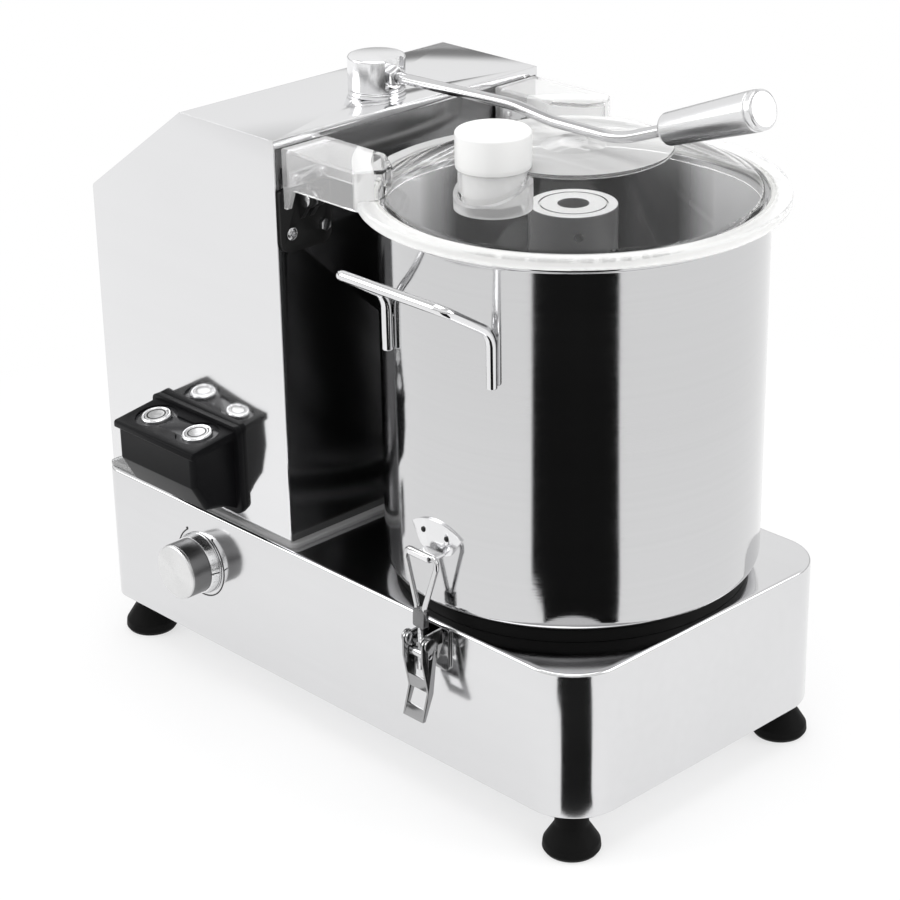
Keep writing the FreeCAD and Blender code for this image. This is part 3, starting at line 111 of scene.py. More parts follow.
def split(tree, vector):
    part = addNode(tree, "ShaderNodeSeparateXYZ")
    tree.links.new(vector, part.inputs[0])
    return part.outputs["X"], part.outputs["Y"], part.outputs["Z"]


def objectSpot(tree):
    return addNode(tree, "ShaderNodeTexCoord").outputs["Object"]


def addNoise(tree, vector, scale, detail):
    noise = addNode(tree, "ShaderNodeTexNoise")
    noise.inputs["Scale"].default_value = scale
    noise.inputs["Detail"].default_value = detail
    tree.links.new(vector, noise.inputs["Vector"])
    return noise.outputs["Fac"]


grainSpec = {"fineDetail": 3.0, "broadDetail": 2.0, "broadScale": 0.13}
smudgeSpec = {"detail": 4.0, "distortion": 0.6, "from": 0.48, "to": 0.72, "speckScale": 55.0,
              "speckCore": 0.05, "speckEdge": 0.16, "rare": 0.90}


def makeGrainGroup():
    # Long fine strokes: the stretch vector is small along the strokes and large across them
    group, start, end = makeGroup(
        "strokeGrain",
        [("Stretch", "NodeSocketVector", (20.0, 20.0, 2400.0))],
        [("Fine", "NodeSocketFloat"), ("Broad", "NodeSocketFloat")])
    stretch = addNode(group, "ShaderNodeVectorMath", operation="MULTIPLY")
    group.links.new(objectSpot(group), stretch.inputs[0])
    group.links.new(start.outputs["Stretch"], stretch.inputs[1])
    broad = addNode(group, "ShaderNodeVectorMath", operation="SCALE")
    broad.inputs["Scale"].default_value = grainSpec["broadScale"]
    group.links.new(stretch.outputs[0], broad.inputs[0])
    group.links.new(addNoise(group, stretch.outputs[0], 1.0, grainSpec["fineDetail"]), end.inputs["Fine"])
    group.links.new(addNoise(group, broad.outputs[0], 1.0, grainSpec["broadDetail"]), end.inputs["Broad"])
    return group


def makeSmudgeGroup():
    # Soft hand smudges, and rare round specks between them
    s = smudgeSpec
    group, start, end = makeGroup(
        "handSmudges", [("Scale", "NodeSocketFloat", 9.0)],
        [("Smudge", "NodeSocketFloat"), ("Specks", "NodeSocketFloat"), ("Cloud", "NodeSocketFloat")])
    spot = objectSpot(group)
    cloud = addNode(group, "ShaderNodeTexNoise")
    cloud.inputs["Detail"].default_value = s["detail"]
    cloud.inputs["Distortion"].default_value = s["distortion"]
    group.links.new(spot, cloud.inputs["Vector"])
    group.links.new(start.outputs["Scale"], cloud.inputs["Scale"])
    smudge = spread(group, cloud.outputs["Fac"], s["from"], s["to"])
    speck = addNode(group, "ShaderNodeTexVoronoi")
    group.links.new(spot, speck.inputs["Vector"])
    group.links.new(times(group, start.outputs["Scale"], s["speckScale"]), speck.inputs["Scale"])
    near = spread(group, speck.outputs["Distance"], s["speckCore"], s["speckEdge"], 1.0, 0.0)
    tint = addNode(group, "ShaderNodeSeparateColor")
    group.links.new(speck.outputs["Color"], tint.inputs[0])
    rare = mathNode(group, "GREATER_THAN", tint.outputs[0], s["rare"])
    group.links.new(smudge, end.inputs["Smudge"])
    group.links.new(times(group, near, rare), end.inputs["Specks"])
    group.links.new(cloud.outputs["Fac"], end.inputs["Cloud"])
    return group


grainGroup = makeGrainGroup()
smudgeGroup = makeSmudgeGroup()


def emptyMaterial(name):
    material = bpy.data.materials.new(name)
    material.use_nodes = True
    tree = material.node_tree
    tree.nodes.clear()
    output = addNode(tree, "ShaderNodeOutputMaterial")
    return material, tree, output.inputs["Surface"]


def startMaterial(name):
    material, tree, surface = emptyMaterial(name)
    shader = addNode(tree, "ShaderNodeBsdfPrincipled")
    tree.links.new(shader.outputs[0], surface)
    return material, tree, shader


def mixShaders(tree, factor, first, second):
    mix = addNode(tree, "ShaderNodeMixShader")
    tree.links.new(factor, mix.inputs[0])
    tree.links.new(first, mix.inputs[1])
    tree.links.new(second, mix.inputs[2])
    return mix.outputs[0]


def addBump(tree, shader, height, strength, distance):
    lift = addNode(tree, "ShaderNodeBump")
    lift.inputs["Strength"].default_value = strength
    lift.inputs["Distance"].default_value = distance
    tree.links.new(height, lift.inputs["Height"])
    tree.links.new(lift.outputs[0], shader.inputs["Normal"])


def aboutSpindle(tree):
    # Place from the spindle axis, and the square of the distance to it
    x, y, z = split(tree, objectSpot(tree))
    x = mathNode(tree, "SUBTRACT", x, axisX)
    square = plus(tree, times(tree, x, x), times(tree, y, y))
    return x, y, z, square


def addSmudge(tree, scale):
    node = addNode(tree, "ShaderNodeGroup", node_tree=smudgeGroup)
    node.inputs["Scale"].default_value = scale
    return node


def addGrain(tree, stretch):
    node = addNode(tree, "ShaderNodeGroup", node_tree=grainGroup)
    node.inputs["Stretch"].default_value = stretch
    return node


def shadeOf(tree, light, dark, factor):
    # Blend of two colours, each a value or a socket
    mix = addNode(tree, "ShaderNodeMix", data_type="RGBA")
    for index, colour in ((6, light), (7, dark)):
        if isinstance(colour, tuple):
            mix.inputs[index].default_value = (*colour, 1.0)
        else:
            tree.links.new(colour, mix.inputs[index])
    tree.links.new(factor, mix.inputs[0])
    return mix.outputs[2]


def paintInnerReflection(tree, shader, shade, tint, inside):
    # Painted reflection: the bowl's inner wall gets a dark band along the camera's line of sight and pale
    # sides, which are also made less metallic, standing in for what its steel reflects
    x, y, z, square = aboutSpindle(tree)
    within = mathNode(tree, "LESS_THAN", square, inside["radius"] ** 2)
    below = mathNode(tree, "LESS_THAN", z, inside["top"])
    turn = math.radians(inside["turn"])
    across = plus(tree, times(tree, x, -math.sin(turn)), times(tree, y, math.cos(turn)))
    across = mathNode(tree, "ABSOLUTE", mathNode(tree, "SUBTRACT", across, inside["shift"]))
    low, high = (tuple(t * inside[key] for t in tint) for key in ("colour", "sides"))
    side = spread(tree, across, inside["from"], inside["to"])
    wall = shadeOf(tree, low, high, side)
    inner = times(tree, within, below)
    pale = times(tree, times(tree, side, inner), -inside["paintedPaleMatte"])
    tree.links.new(plus(tree, pale, 1.0), shader.inputs["Metallic"])
    return shadeOf(tree, shade, wall, inner)


def paintedTopLight(tree, shade, top):
    # Painted highlight: the upward faces of the ring on top of the piece get a light colour, as if lit from
    # above
    geometry = addNode(tree, "ShaderNodeNewGeometry")
    up = mathNode(tree, "GREATER_THAN", split(tree, geometry.outputs["Normal"])[2], top["facing"])
    high = mathNode(tree, "GREATER_THAN", split(tree, objectSpot(tree))[2], top["above"])
    return shadeOf(tree, shade, (top["colour"],) * 3, times(tree, up, high))


steelFinish = {"streak": 0.86, "patch": 3.0, "stain": 2.0, "specks": 0.12, "depth": 0.0002}
spunFinish = {"rings": 3800.0, "smudgeScale": 30.0, "groove": 0.5, "smudge": 0.2, "dark": 0.8, "bump": 0.10,
              "depth": 0.0001}
plasticFinish = {"smudgeScale": 14.0, "cloud": 0.9, "smudge": 0.10, "depth": 0.0003}
clearFinish = {"smudgeScale": 16.0, "smudge": 0.008, "specks": 0.05, "bump": 0.02, "depth": 0.0003,
               "haze": (0.9, 0.9, 0.9, 1.0), "speckHaze": 0.10, "shadow": (0.93, 0.93, 0.93, 1.0)}


def steelMaterial(name, colour, roughness, stretch, grain, bump, smudge, scale, anisotropy=0.0,
                  tint=(1.0, 1.0, 1.01), inside=None, metal=1.0, top=None):
    # Brushed steel with streaks, patches and stains, and where asked a painted reflection on a bowl's inner
    # wall and a painted highlight on a ring's top
    f = steelFinish
    material, tree, shader = startMaterial(name)
    strokes = addGrain(tree, stretch)
    marks = addSmudge(tree, scale)
    light = tuple(min(1.0, colour * t) for t in tint)
    dark = tuple(colour * t * f["streak"] for t in tint)
    patch = times(tree, strokes.outputs["Broad"], grain * f["patch"])
    stain = times(tree, marks.outputs["Smudge"], smudge * f["stain"])
    shade = shadeOf(tree, light, dark, plus(tree, patch, stain, True))
    if inside:
        shade = paintInnerReflection(tree, shader, shade, tint, inside)
    if top:
        shade = paintedTopLight(tree, shade, top)
    tree.links.new(shade, shader.inputs["Base Color"])
    shader.inputs["Metallic"].default_value = metal
    rough = times(tree, strokes.outputs["Fine"], grain)
    rough = plus(tree, rough, roughness - grain * 0.5)
    rough = plus(tree, rough, times(tree, marks.outputs["Smudge"], smudge))
    rough = plus(tree, rough, times(tree, marks.outputs["Specks"], f["specks"]), True)
    tree.links.new(rough, shader.inputs["Roughness"])
    addBump(tree, shader, strokes.outputs["Fine"], bump, f["depth"])
    if anisotropy > 0:
        tangent = addNode(tree, "ShaderNodeTangent", direction_type="RADIAL", axis="Z")
        tree.links.new(tangent.outputs[0], shader.inputs["Tangent"])
        shader.inputs["Anisotropic"].default_value = anisotropy
    return material


def spunMaterial(name, centre, direction, colour, roughness, grain, anisotropy):
    # Turned face: rings about the centre and a radial sheen
    f = spunFinish
    material, tree, shader = startMaterial(name)
    offset = addNode(tree, "ShaderNodeVectorMath", operation="SUBTRACT")
    offset.inputs[1].default_value = centre
    tree.links.new(objectSpot(tree), offset.inputs[0])
    across = addNode(tree, "ShaderNodeVectorMath", operation="CROSS_PRODUCT")
    across.inputs[1].default_value = direction
    tree.links.new(offset.outputs[0], across.inputs[0])
    length = addNode(tree, "ShaderNodeVectorMath", operation="LENGTH")
    tree.links.new(across.outputs[0], length.inputs[0])
    rings = addNode(tree, "ShaderNodeTexNoise", noise_dimensions="1D")
    rings.inputs["Scale"].default_value = f["rings"]
    rings.inputs["Detail"].default_value = 2.0
    tree.links.new(length.outputs["Value"], rings.inputs["W"])
    normalised = addNode(tree, "ShaderNodeVectorMath", operation="NORMALIZE")
    tree.links.new(across.outputs[0], normalised.inputs[0])
    tree.links.new(normalised.outputs[0], shader.inputs["Tangent"])
    shader.inputs["Anisotropic"].default_value = anisotropy
    shader.inputs["Metallic"].default_value = 1.0
    marks = addSmudge(tree, f["smudgeScale"])
    groove = times(tree, rings.outputs["Fac"], f["groove"])
    mask = plus(tree, groove, times(tree, marks.outputs["Smudge"], f["smudge"]), True)
    shade = shadeOf(tree, (colour,) * 3, (colour * f["dark"],) * 3, mask)
    tree.links.new(shade, shader.inputs["Base Color"])
    rough = times(tree, rings.outputs["Fac"], grain)
    rough = plus(tree, rough, roughness - grain * 0.5)
    tree.links.new(rough, shader.inputs["Roughness"])
    addBump(tree, shader, rings.outputs["Fac"], f["bump"], f["depth"])
    return material


def plasticMaterial(name, light, dark, roughness, texture, textureScale, dust, coat=0.0, shine=0.5):
    # Moulded or painted surface with fine pores
    f = plasticFinish
    material, tree, shader = startMaterial(name)
    marks = addSmudge(tree, f["smudgeScale"])
    mask = times(tree, marks.outputs["Cloud"], f["cloud"])
    mask = plus(tree, mask, times(tree, marks.outputs["Specks"], dust), True)
    tree.links.new(shadeOf(tree, light, dark, mask), shader.inputs["Base Color"])
    rough = plus(tree, times(tree, marks.outputs["Smudge"], f["smudge"]), roughness, True)
    tree.links.new(rough, shader.inputs["Roughness"])
    shader.inputs["Coat Weight"].default_value = coat
    shader.inputs["Specular IOR Level"].default_value = shine
    addBump(tree, shader, addNoise(tree, objectSpot(tree), textureScale, 2.0), texture, f["depth"])
    return material


def satinShare(tree, satin):
    # The flat disc in the middle, the arms and above all the thick edge are satin, and the cone is clear
    x, y, z, square = aboutSpindle(tree)
    middle = mathNode(tree, "LESS_THAN", square, satin["discRadius"] ** 2)
    disc = times(tree, middle, mathNode(tree, "GREATER_THAN", z, satin["discLow"]))
    outside = mathNode(tree, "GREATER_THAN", square, satin["edgeInner"] ** 2)
    rim = times(tree, outside, mathNode(tree, "LESS_THAN", square, satin["edgeOuter"] ** 2))
    share = times(tree, disc, satin["disc"])
    share = plus(tree, share, times(tree, outside, satin["arms"]))
    return plus(tree, share, times(tree, rim, satin["rim"]))


def clearMaterial(name, colour=(0.985, 0.985, 0.985), roughness=0.0, ior=1.49, veil=0.012, satin=None):
    # Clear plastic that lets light through to what is under it
    f = clearFinish
    material, tree, surface = emptyMaterial(name)
    shader = addNode(tree, "ShaderNodeBsdfPrincipled")
    marks = addSmudge(tree, f["smudgeScale"])
    shader.inputs["Base Color"].default_value = (*colour, 1.0)
    shader.inputs["Transmission Weight"].default_value = 1.0
    shader.inputs["IOR"].default_value = ior
    rough = plus(tree, times(tree, marks.outputs["Smudge"], f["smudge"]), roughness)
    rough = plus(tree, rough, times(tree, marks.outputs["Specks"], f["specks"]))
    tree.links.new(rough, shader.inputs["Roughness"])
    addBump(tree, shader, marks.outputs["Cloud"], f["bump"], f["depth"])
    haze = addNode(tree, "ShaderNodeBsdfDiffuse")
    haze.inputs["Color"].default_value = f["haze"]
    share = plus(tree, times(tree, marks.outputs["Specks"], f["speckHaze"]), veil, True)
    if satin:
        share = plus(tree, share, satinShare(tree, satin), True)
    hazed = mixShaders(tree, share, shader.outputs[0], haze.outputs[0])
    path = addNode(tree, "ShaderNodeLightPath")
    through = addNode(tree, "ShaderNodeBsdfTransparent")
    through.inputs["Color"].default_value = f["shadow"]
    shadowed = mathNode(tree, "MAXIMUM", path.outputs["Is Shadow Ray"], path.outputs["Is Diffuse Ray"])
    tree.links.new(mixShaders(tree, shadowed, hazed, through.outputs[0]), surface)
    return material


# What each material is made with: steels, plastics and paints, and clear plastics.
# Radii and heights in these are in metres, in the frame, and angles in degrees.
steelSpec = {
    "columnSteel": {"colour": 0.80, "roughness": 0.10, "stretch": (9.0, 9.0, 900.0), "grain": 0.05,
                    "bump": 0.012, "smudge": 0.03, "scale": 5.0},
    "baseSteel": {"colour": 0.74, "roughness": 0.12, "stretch": (8.0, 1200.0, 1200.0), "grain": 0.08,
                  "bump": 0.03, "smudge": 0.04, "scale": 8.0},
    # The front panel's steel is darkened as a painted reflection of the dark things it faces
    "panelSteel": {"colour": 0.20, "roughness": 0.17, "stretch": (900.0, 900.0, 7.0), "grain": 0.05,
                   "bump": 0.015, "smudge": 0.05, "scale": 9.0},
    "bowlSteel": {"colour": 0.63, "roughness": 0.075, "stretch": (5.0, 5.0, 2200.0), "grain": 0.10,
                  "bump": 0.07, "smudge": 0.02, "scale": 6.0, "anisotropy": 0.35,
                  # The bowl's inner wall carries a painted reflection: its dark band is turned to the
                  # camera's bearing
                  "inside": {"radius": 0.1262, "top": 0.3945, "colour": 0.12, "sides": 0.95,
                             "paintedPaleMatte": 0.75, "turn": -46.6, "shift": -0.004, "from": 0.076, "to": 0.100}},
    "rodSteel": {"colour": 0.80, "roughness": 0.07, "stretch": (60.0, 1800.0, 1800.0), "grain": 0.05,
                 "bump": 0.02, "smudge": 0.04, "scale": 30.0},
    "latchSteel": {"colour": 0.36, "roughness": 0.13, "stretch": (300.0, 300.0, 40.0), "grain": 0.08,
                   "bump": 0.05, "smudge": 0.06, "scale": 60.0},
    "keeperSteel": {"colour": 0.84, "roughness": 0.16, "stretch": (60.0, 60.0, 1500.0), "grain": 0.08,
                    "bump": 0.03, "smudge": 0.03, "scale": 40.0},
    "wireSteel": {"colour": 0.66, "roughness": 0.10, "stretch": (400.0, 400.0, 60.0), "grain": 0.05,
                  "bump": 0.03, "smudge": 0.04, "scale": 60.0},
    "rivetSteel": {"colour": 0.035, "roughness": 0.34, "stretch": (900.0, 900.0, 900.0), "grain": 0.10,
                   "bump": 0.05, "smudge": 0.05, "scale": 90.0},
    "hubSteel": {"colour": 0.08, "roughness": 0.30, "stretch": (12.0, 12.0, 2600.0), "grain": 0.16,
                 "bump": 0.08, "smudge": 0.05, "scale": 20.0, "metal": 0.5,
                 # Its top ring carries a painted highlight on the upward faces
                 "top": {"colour": 0.82, "above": 0.386, "facing": 0.7}},
    "armSteel": {"colour": 0.66, "roughness": 0.12, "stretch": (60.0, 1800.0, 1800.0), "grain": 0.05,
                 "bump": 0.02, "smudge": 0.04, "scale": 30.0},
    "blockSteel": {"colour": 0.20, "roughness": 0.26, "stretch": (400.0, 400.0, 60.0), "grain": 0.08,
                   "bump": 0.04, "smudge": 0.05, "scale": 60.0},
    "bladeSteel": {"colour": 0.74, "roughness": 0.16, "stretch": (300.0, 300.0, 60.0), "grain": 0.12,
                   "bump": 0.06, "smudge": 0.04, "scale": 20.0},
    "headSteel": {"colour": 0.90, "roughness": 0.18, "stretch": (20.0, 20.0, 2600.0), "grain": 0.06,
                  "bump": 0.03, "smudge": 0.03, "scale": 40.0},
    "screwSteel": {"colour": 0.66, "roughness": 0.16, "stretch": (500.0, 500.0, 500.0), "grain": 0.08,
                   "bump": 0.05, "smudge": 0.05, "scale": 90.0},
    "hingeSteel": {"colour": 0.60, "roughness": 0.20, "stretch": (900.0, 60.0, 900.0), "grain": 0.10,
                   "bump": 0.05, "smudge": 0.05, "scale": 50.0},
    "zincSteel": {"colour": 0.62, "roughness": 0.32, "stretch": (300.0, 300.0, 300.0), "grain": 0.14,
                  "bump": 0.08, "smudge": 0.08, "scale": 30.0, "tint": (0.98, 1.0, 1.04)},
    "castAlloy": {"colour": 0.52, "roughness": 0.42, "stretch": (700.0, 700.0, 700.0), "grain": 0.16,
                  "bump": 0.20, "smudge": 0.08, "scale": 30.0},
    "gripMetal": {"colour": 0.78, "roughness": 0.24, "stretch": (40.0, 1500.0, 500.0), "grain": 0.03,
                  "bump": 0.01, "smudge": 0.03, "scale": 30.0},
    "knobMetal": {"colour": 0.22, "roughness": 0.34, "stretch": (900.0, 30.0, 900.0), "grain": 0.10,
                  "bump": 0.04, "smudge": 0.04, "scale": 60.0},
    "skirtMetal": {"colour": 0.84, "roughness": 0.24, "stretch": (900.0, 1600.0, 900.0), "grain": 0.10,
                   "bump": 0.05, "smudge": 0.03, "scale": 60.0},
}
plasticSpec = {
    "rubber": {"light": (0.004, 0.004, 0.004), "dark": (0.008, 0.008, 0.008), "roughness": 0.50,
               "texture": 0.25, "textureScale": 1500.0, "dust": 0.1, "shine": 0.06},
    "blackPlastic": {"light": (0.004, 0.004, 0.0045), "dark": (0.008, 0.008, 0.009), "roughness": 0.30,
                     "texture": 0.20, "textureScale": 2600.0, "dust": 0.06, "shine": 0.07},
    "padPlastic": {"light": (0.022, 0.022, 0.024), "dark": (0.036, 0.036, 0.038), "roughness": 0.22,
                   "texture": 0.05, "textureScale": 1200.0, "dust": 0.3, "coat": 0.1, "shine": 0.3},
    "bracketPaint": {"light": (0.008, 0.008, 0.008), "dark": (0.014, 0.014, 0.014), "roughness": 0.34,
                     "texture": 0.15, "textureScale": 1800.0, "dust": 0.2, "shine": 0.2},
    "motorPaint": {"light": (0.045, 0.050, 0.055), "dark": (0.070, 0.075, 0.080), "roughness": 0.42,
                   "texture": 0.25, "textureScale": 900.0, "dust": 0.3},
    "boardGreen": {"light": (0.030, 0.130, 0.060), "dark": (0.050, 0.190, 0.090), "roughness": 0.35,
                   "texture": 0.10, "textureScale": 900.0, "dust": 0.3, "coat": 0.2},
    "canAlloy": {"light": (0.52, 0.53, 0.55), "dark": (0.62, 0.63, 0.64), "roughness": 0.28,
                 "texture": 0.05, "textureScale": 900.0, "dust": 0.1, "coat": 0.3},
    "whitePlastic": {"light": (0.90, 0.90, 0.895), "dark": (0.85, 0.85, 0.84), "roughness": 0.30,
                     "texture": 0.06, "textureScale": 1600.0, "dust": 0.05, "coat": 0.15},
    "whiteSeal": {"light": (0.80, 0.80, 0.79), "dark": (0.72, 0.72, 0.70), "roughness": 0.45,
                  "texture": 0.10, "textureScale": 1400.0, "dust": 0.1},
    "markPrint": {"light": (0.02, 0.02, 0.02), "dark": (0.035, 0.035, 0.035), "roughness": 0.5,
                  "texture": 0.10, "textureScale": 1400.0, "dust": 0.1},
}
clearSpec = {
    "seal": {"colour": (0.62, 0.64, 0.64), "roughness": 0.25, "ior": 1.45, "veil": 0.30},
    "clearLid": {"ior": 1.16, "satin": {"disc": 0.46, "arms": 0.20, "rim": 0.18, "discRadius": 0.0640,
                                        "discLow": 0.4322, "edgeInner": 0.1292, "edgeOuter": 0.1415}},
    "clearTube": {"ior": 1.25, "veil": 0.30},
}
made = {}
for maker, table in ((steelMaterial, steelSpec), (plasticMaterial, plasticSpec), (clearMaterial, clearSpec)):
    for name, values in table.items():
        made[name] = maker(name, **values)

# The speed knob stands on the base's side, and its turned face is this far out
knobSpec = {"x": -247.0, "y": -128.0, "z": 95.4, "out": 24.4}
knobPlace = Matrix.Translation(place(knobSpec["x"], knobSpec["y"], knobSpec["z"]))
knobTurn = knobPlace @ Matrix.Rotation(math.pi / 2, 4, "X")
faceCentre = place(knobSpec["x"], knobSpec["y"] - knobSpec["out"], knobSpec["z"])
made["knobFace"] = spunMaterial("knobFace", faceCentre, (0.0, 1.0, 0.0), 0.80, 0.30, 0.16, 0.8)
print("materials made")

plainMaterials = {
    "bottom_plate": "zincSteel", "foot_bolts": "zincSteel", "cable_gland": "blackPlastic",
    "spindle_housing": "castAlloy", "spindle_bearings": "screwSteel", "spindle_shaft": "hubSteel",
    "spindle_pulley": "castAlloy", "drive_belt": "rubber", "motor_plate": "zincSteel",
    "motor_body": "motorPaint", "motor_shaft": "screwSteel", "motor_pulley": "castAlloy",
    "control_board": "boardGreen", "capacitor": "canAlloy", "microswitch": "blackPlastic",
    "speed_pot": "zincSteel", "speed_marks": "markPrint", "lid_shell": "clearLid",
}
for node, materialName in plainMaterials.items():
    for slot in frame["nodes"][node].material_slots:
        slot.material = made[materialName]


# Mesh helpers
def dress(obj, material, node, angle=32.0):
    mesh = obj.data
    mesh.materials.clear()
    mesh.materials.append(made[material])
    mesh.shade_smooth()
    mesh.set_sharp_from_angle(angle=math.radians(angle))
    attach(obj, bodyOf[node])
    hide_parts(node)


def linkMesh(name, verts, faces):
    mesh = bpy.data.meshes.new(name)
    mesh.from_pydata([tuple(v) for v in verts], [], faces)
    work = bmesh.new()
    work.from_mesh(mesh)
    bmesh.ops.remove_doubles(work, verts=work.verts, dist=1e-7)
    bmesh.ops.recalc_face_normals(work, faces=work.faces)
    work.to_mesh(mesh)
    work.free()
    obj = bpy.data.objects.new(name, mesh)
    bpy.context.scene.collection.objects.link(obj)
    return obj


def rounded(points, radii, steps=6):
    # Closed 2-D outline with arcs at its corners
    result = []
    count = len(points)
    for i in range(count):
        here = Vector(points[i])
        radius = radii[i]
        before = Vector(points[i - 1]) - here
        after = Vector(points[(i + 1) % count]) - here
        if radius <= 0 or before.length < 1e-9 or after.length < 1e-9:
            result.append(here)
            continue
        half = before.angle(after) / 2
        if half > math.pi / 2 - 0.02:
            result.append(here)
            continue
        reach = radius / math.tan(half)
        before.normalize()
        after.normalize()
        middle = (before + after).normalized()
        centre = here + middle * (radius / math.sin(half))
        first = here + before * reach - centre
        last = here + after * reach - centre
        turn = first.angle_signed(last)
        for step in range(steps + 1):
            angle = -turn * step / steps
            c, s = math.cos(angle), math.sin(angle)
            result.append(centre + Vector((first.x * c - first.y * s, first.x * s + first.y * c)))
    return result


def lathe(name, profile, segments, centre=(0.0, 0.0), matrix=None):
    # Round piece from a closed outline of radius and height in mm, at the centre or as the matrix says
    verts = []
    rings = []
    for point in profile:
        radius, z = point[0] * mm, point[1] * mm
        if radius < 1e-7:
            rings.append([len(verts)])
            verts.append(Vector((0, 0, z)))
            continue
        rings.append(list(range(len(verts), len(verts) + segments)))
        for k in range(segments):
            angle = 2 * math.pi * k / segments
            verts.append(Vector((radius * math.cos(angle), radius * math.sin(angle), z)))
    faces = []
    for i in range(len(rings)):
        a, b = rings[i], rings[(i + 1) % len(rings)]
        for k in range(segments):
            n = (k + 1) % segments
            if len(a) == 1 and len(b) == 1:
                break
            if len(a) == 1:
                faces.append((a[0], b[n], b[k]))
            elif len(b) == 1:
                faces.append((a[k], a[n], b[0]))
            else:
                faces.append((a[k], a[n], b[n], b[k]))
    if matrix is None:
        matrix = Matrix.Translation(place(centre[0], centre[1], 0))
    return linkMesh(name, [matrix @ v for v in verts], faces)


def turned(name, spec, centre=(0.0, 0.0), matrix=None):
    return lathe(name, rounded(spec["points"], spec["radii"], spec["steps"]), spec["around"], centre, matrix)


def cylinder(radius, low, high):
    return [(0, low), (radius, low), (radius, high), (0, high)]


def toward(spot, way):
    # Stands a round piece at the spot with its axis along the way
    return Matrix.Translation(spot) @ way.to_track_quat("Z", "Y").to_matrix().to_4x4()


def bendPath(points, bends, steps=10):
    # Path with an arc at each inner corner, one radius for each
    result = [Vector(points[0])]
    for i in range(1, len(points) - 1):
        here = Vector(points[i])
        before = Vector(points[i - 1]) - here
        after = Vector(points[i + 1]) - here
        radius = bends[i - 1]
        half = before.angle(after) / 2
        reach = radius / math.tan(half)
        before.normalize()
        after.normalize()
        centre = here + (before + after).normalized() * (radius / math.sin(half))
        first = here + before * reach - centre
        last = here + after * reach - centre
        axis = first.cross(last)
        for step in range(steps + 1):
            result.append(centre + Quaternion(axis, first.angle(last) * step / steps) @ first)
    result.append(Vector(points[-1]))
    return result


def tube(name, path, radius, sides, ends=0.0):
    # Round rod along a path in mm; each end in turn can be rounded over
    endSteps = 4
    points = [Vector(p) for p in path]
    radii = [radius] * len(points)
    for end in range(2 if ends > 0 else 0):
        points.reverse()
        radii.reverse()
        outer = points.pop()
        radii.pop()
        way = (outer - points[-1]).normalized()
        for step in range(endSteps + 1):
            angle = math.pi / 2 * step / endSteps
            points.append(outer - way * ends * (1 - math.sin(angle)))
            radii.append(radius - ends * (1 - math.cos(angle)))
    tangents = []
    for i in range(len(points)):
        a = points[max(i - 1, 0)]
        b = points[min(i + 1, len(points) - 1)]
        tangents.append((b - a).normalized())
    side = tangents[0].orthogonal().normalized()
    verts = []
    for i, point in enumerate(points):
        if i:
            side = (tangents[i - 1].rotation_difference(tangents[i]) @ side).normalized()
        up = tangents[i].cross(side).normalized()
        for k in range(sides):
            angle = 2 * math.pi * k / sides
            p = point + (side * math.cos(angle) + up * math.sin(angle)) * radii[i]
            verts.append(place(*p))
    faces = []
    for i in range(len(points) - 1):
        for k in range(sides):
            n = (k + 1) % sides
            faces.append((i * sides + k, i * sides + n, (i + 1) * sides + n, (i + 1) * sides + k))
    faces.append(tuple(range(sides)))
    faces.append(tuple(range((len(points) - 1) * sides, len(points) * sides)))
    return linkMesh(name, verts, faces)


def prism(name, outlinePoints, low, high, mapping=lambda x, y, z: (x, y, z)):
    # Straight piece between two levels of one outline, which the mapping can turn another way
    count = len(outlinePoints)
    verts = [place(*mapping(p[0], p[1], low)) for p in outlinePoints]
    verts += [place(*mapping(p[0], p[1], high)) for p in outlinePoints]
    faces = [tuple(range(count)), tuple(range(count, 2 * count))]
    for k in range(count):
        n = (k + 1) % count
        faces.append((k, n, count + n, count + k))
    return linkMesh(name, verts, faces)


def settle(obj):
    # Makes the modifiers' result the object's own mesh
    depsgraph = bpy.context.evaluated_depsgraph_get()
    mesh = bpy.data.meshes.new_from_object(obj.evaluated_get(depsgraph))
    obj.modifiers.clear()
    obj.data = mesh


def soften(obj, width, angle=35.0):
    bevel = obj.modifiers.new("edge", "BEVEL")
    bevel.width = width * mm
    bevel.segments = 2
    bevel.limit_method = "ANGLE"
    bevel.angle_limit = math.radians(angle)
    bevel.use_clamp_overlap = True
    settle(obj)


def combine(obj, others, operation):
    for other in others:
        step = obj.modifiers.new("step", "BOOLEAN")
        step.operation = operation
        step.solver = "EXACT"
        step.object = other
        settle(obj)
        bpy.data.objects.remove(other)


def refined(node, material, bevel=0.0, angle=32.0):
    # Copy of a part with merged flats, softened edges and smooth curves
    mesh = frame["nodes"][node].data.copy()
    if "custom_normal" in mesh.attributes:
        mesh.attributes.remove(mesh.attributes["custom_normal"])
    work = bmesh.new()
    work.from_mesh(mesh)
    bmesh.ops.remove_doubles(work, verts=work.verts, dist=3e-6)
    bmesh.ops.dissolve_limit(work, angle_limit=math.radians(0.5), verts=work.verts, edges=work.edges)
    work.to_mesh(mesh)
    work.free()
    obj = bpy.data.objects.new(node + "_fine", mesh)
    bpy.context.scene.collection.objects.link(obj)
    if bevel > 0:
        soften(obj, bevel, 40.0)
    dress(obj, material, node, angle)


# Base: pressed shell with rounded corners
baseSpec = {"front": 124.5, "length": 483.5, "half": 128.0, "low": 32.0, "deck": 138.0, "frontCorner": 37.5,
            "rearCorner": 15.0, "leastCorner": 6.0, "sheet": 1.5, "flange": 30.0, "lowRound": 1.6,
            "deckRound": 2.2, "deckInset": 4.0, "arcSteps": 6}
openingSpec = {"spindle": 33.0, "motor": 36.0, "motorAt": (-250.0, 0.0), "low": 120.0, "high": 150.0,
               "knob": 5.2, "gland": 8.1, "glandAt": (-359.0, -70.0, 75.0), "depth": 6.0}


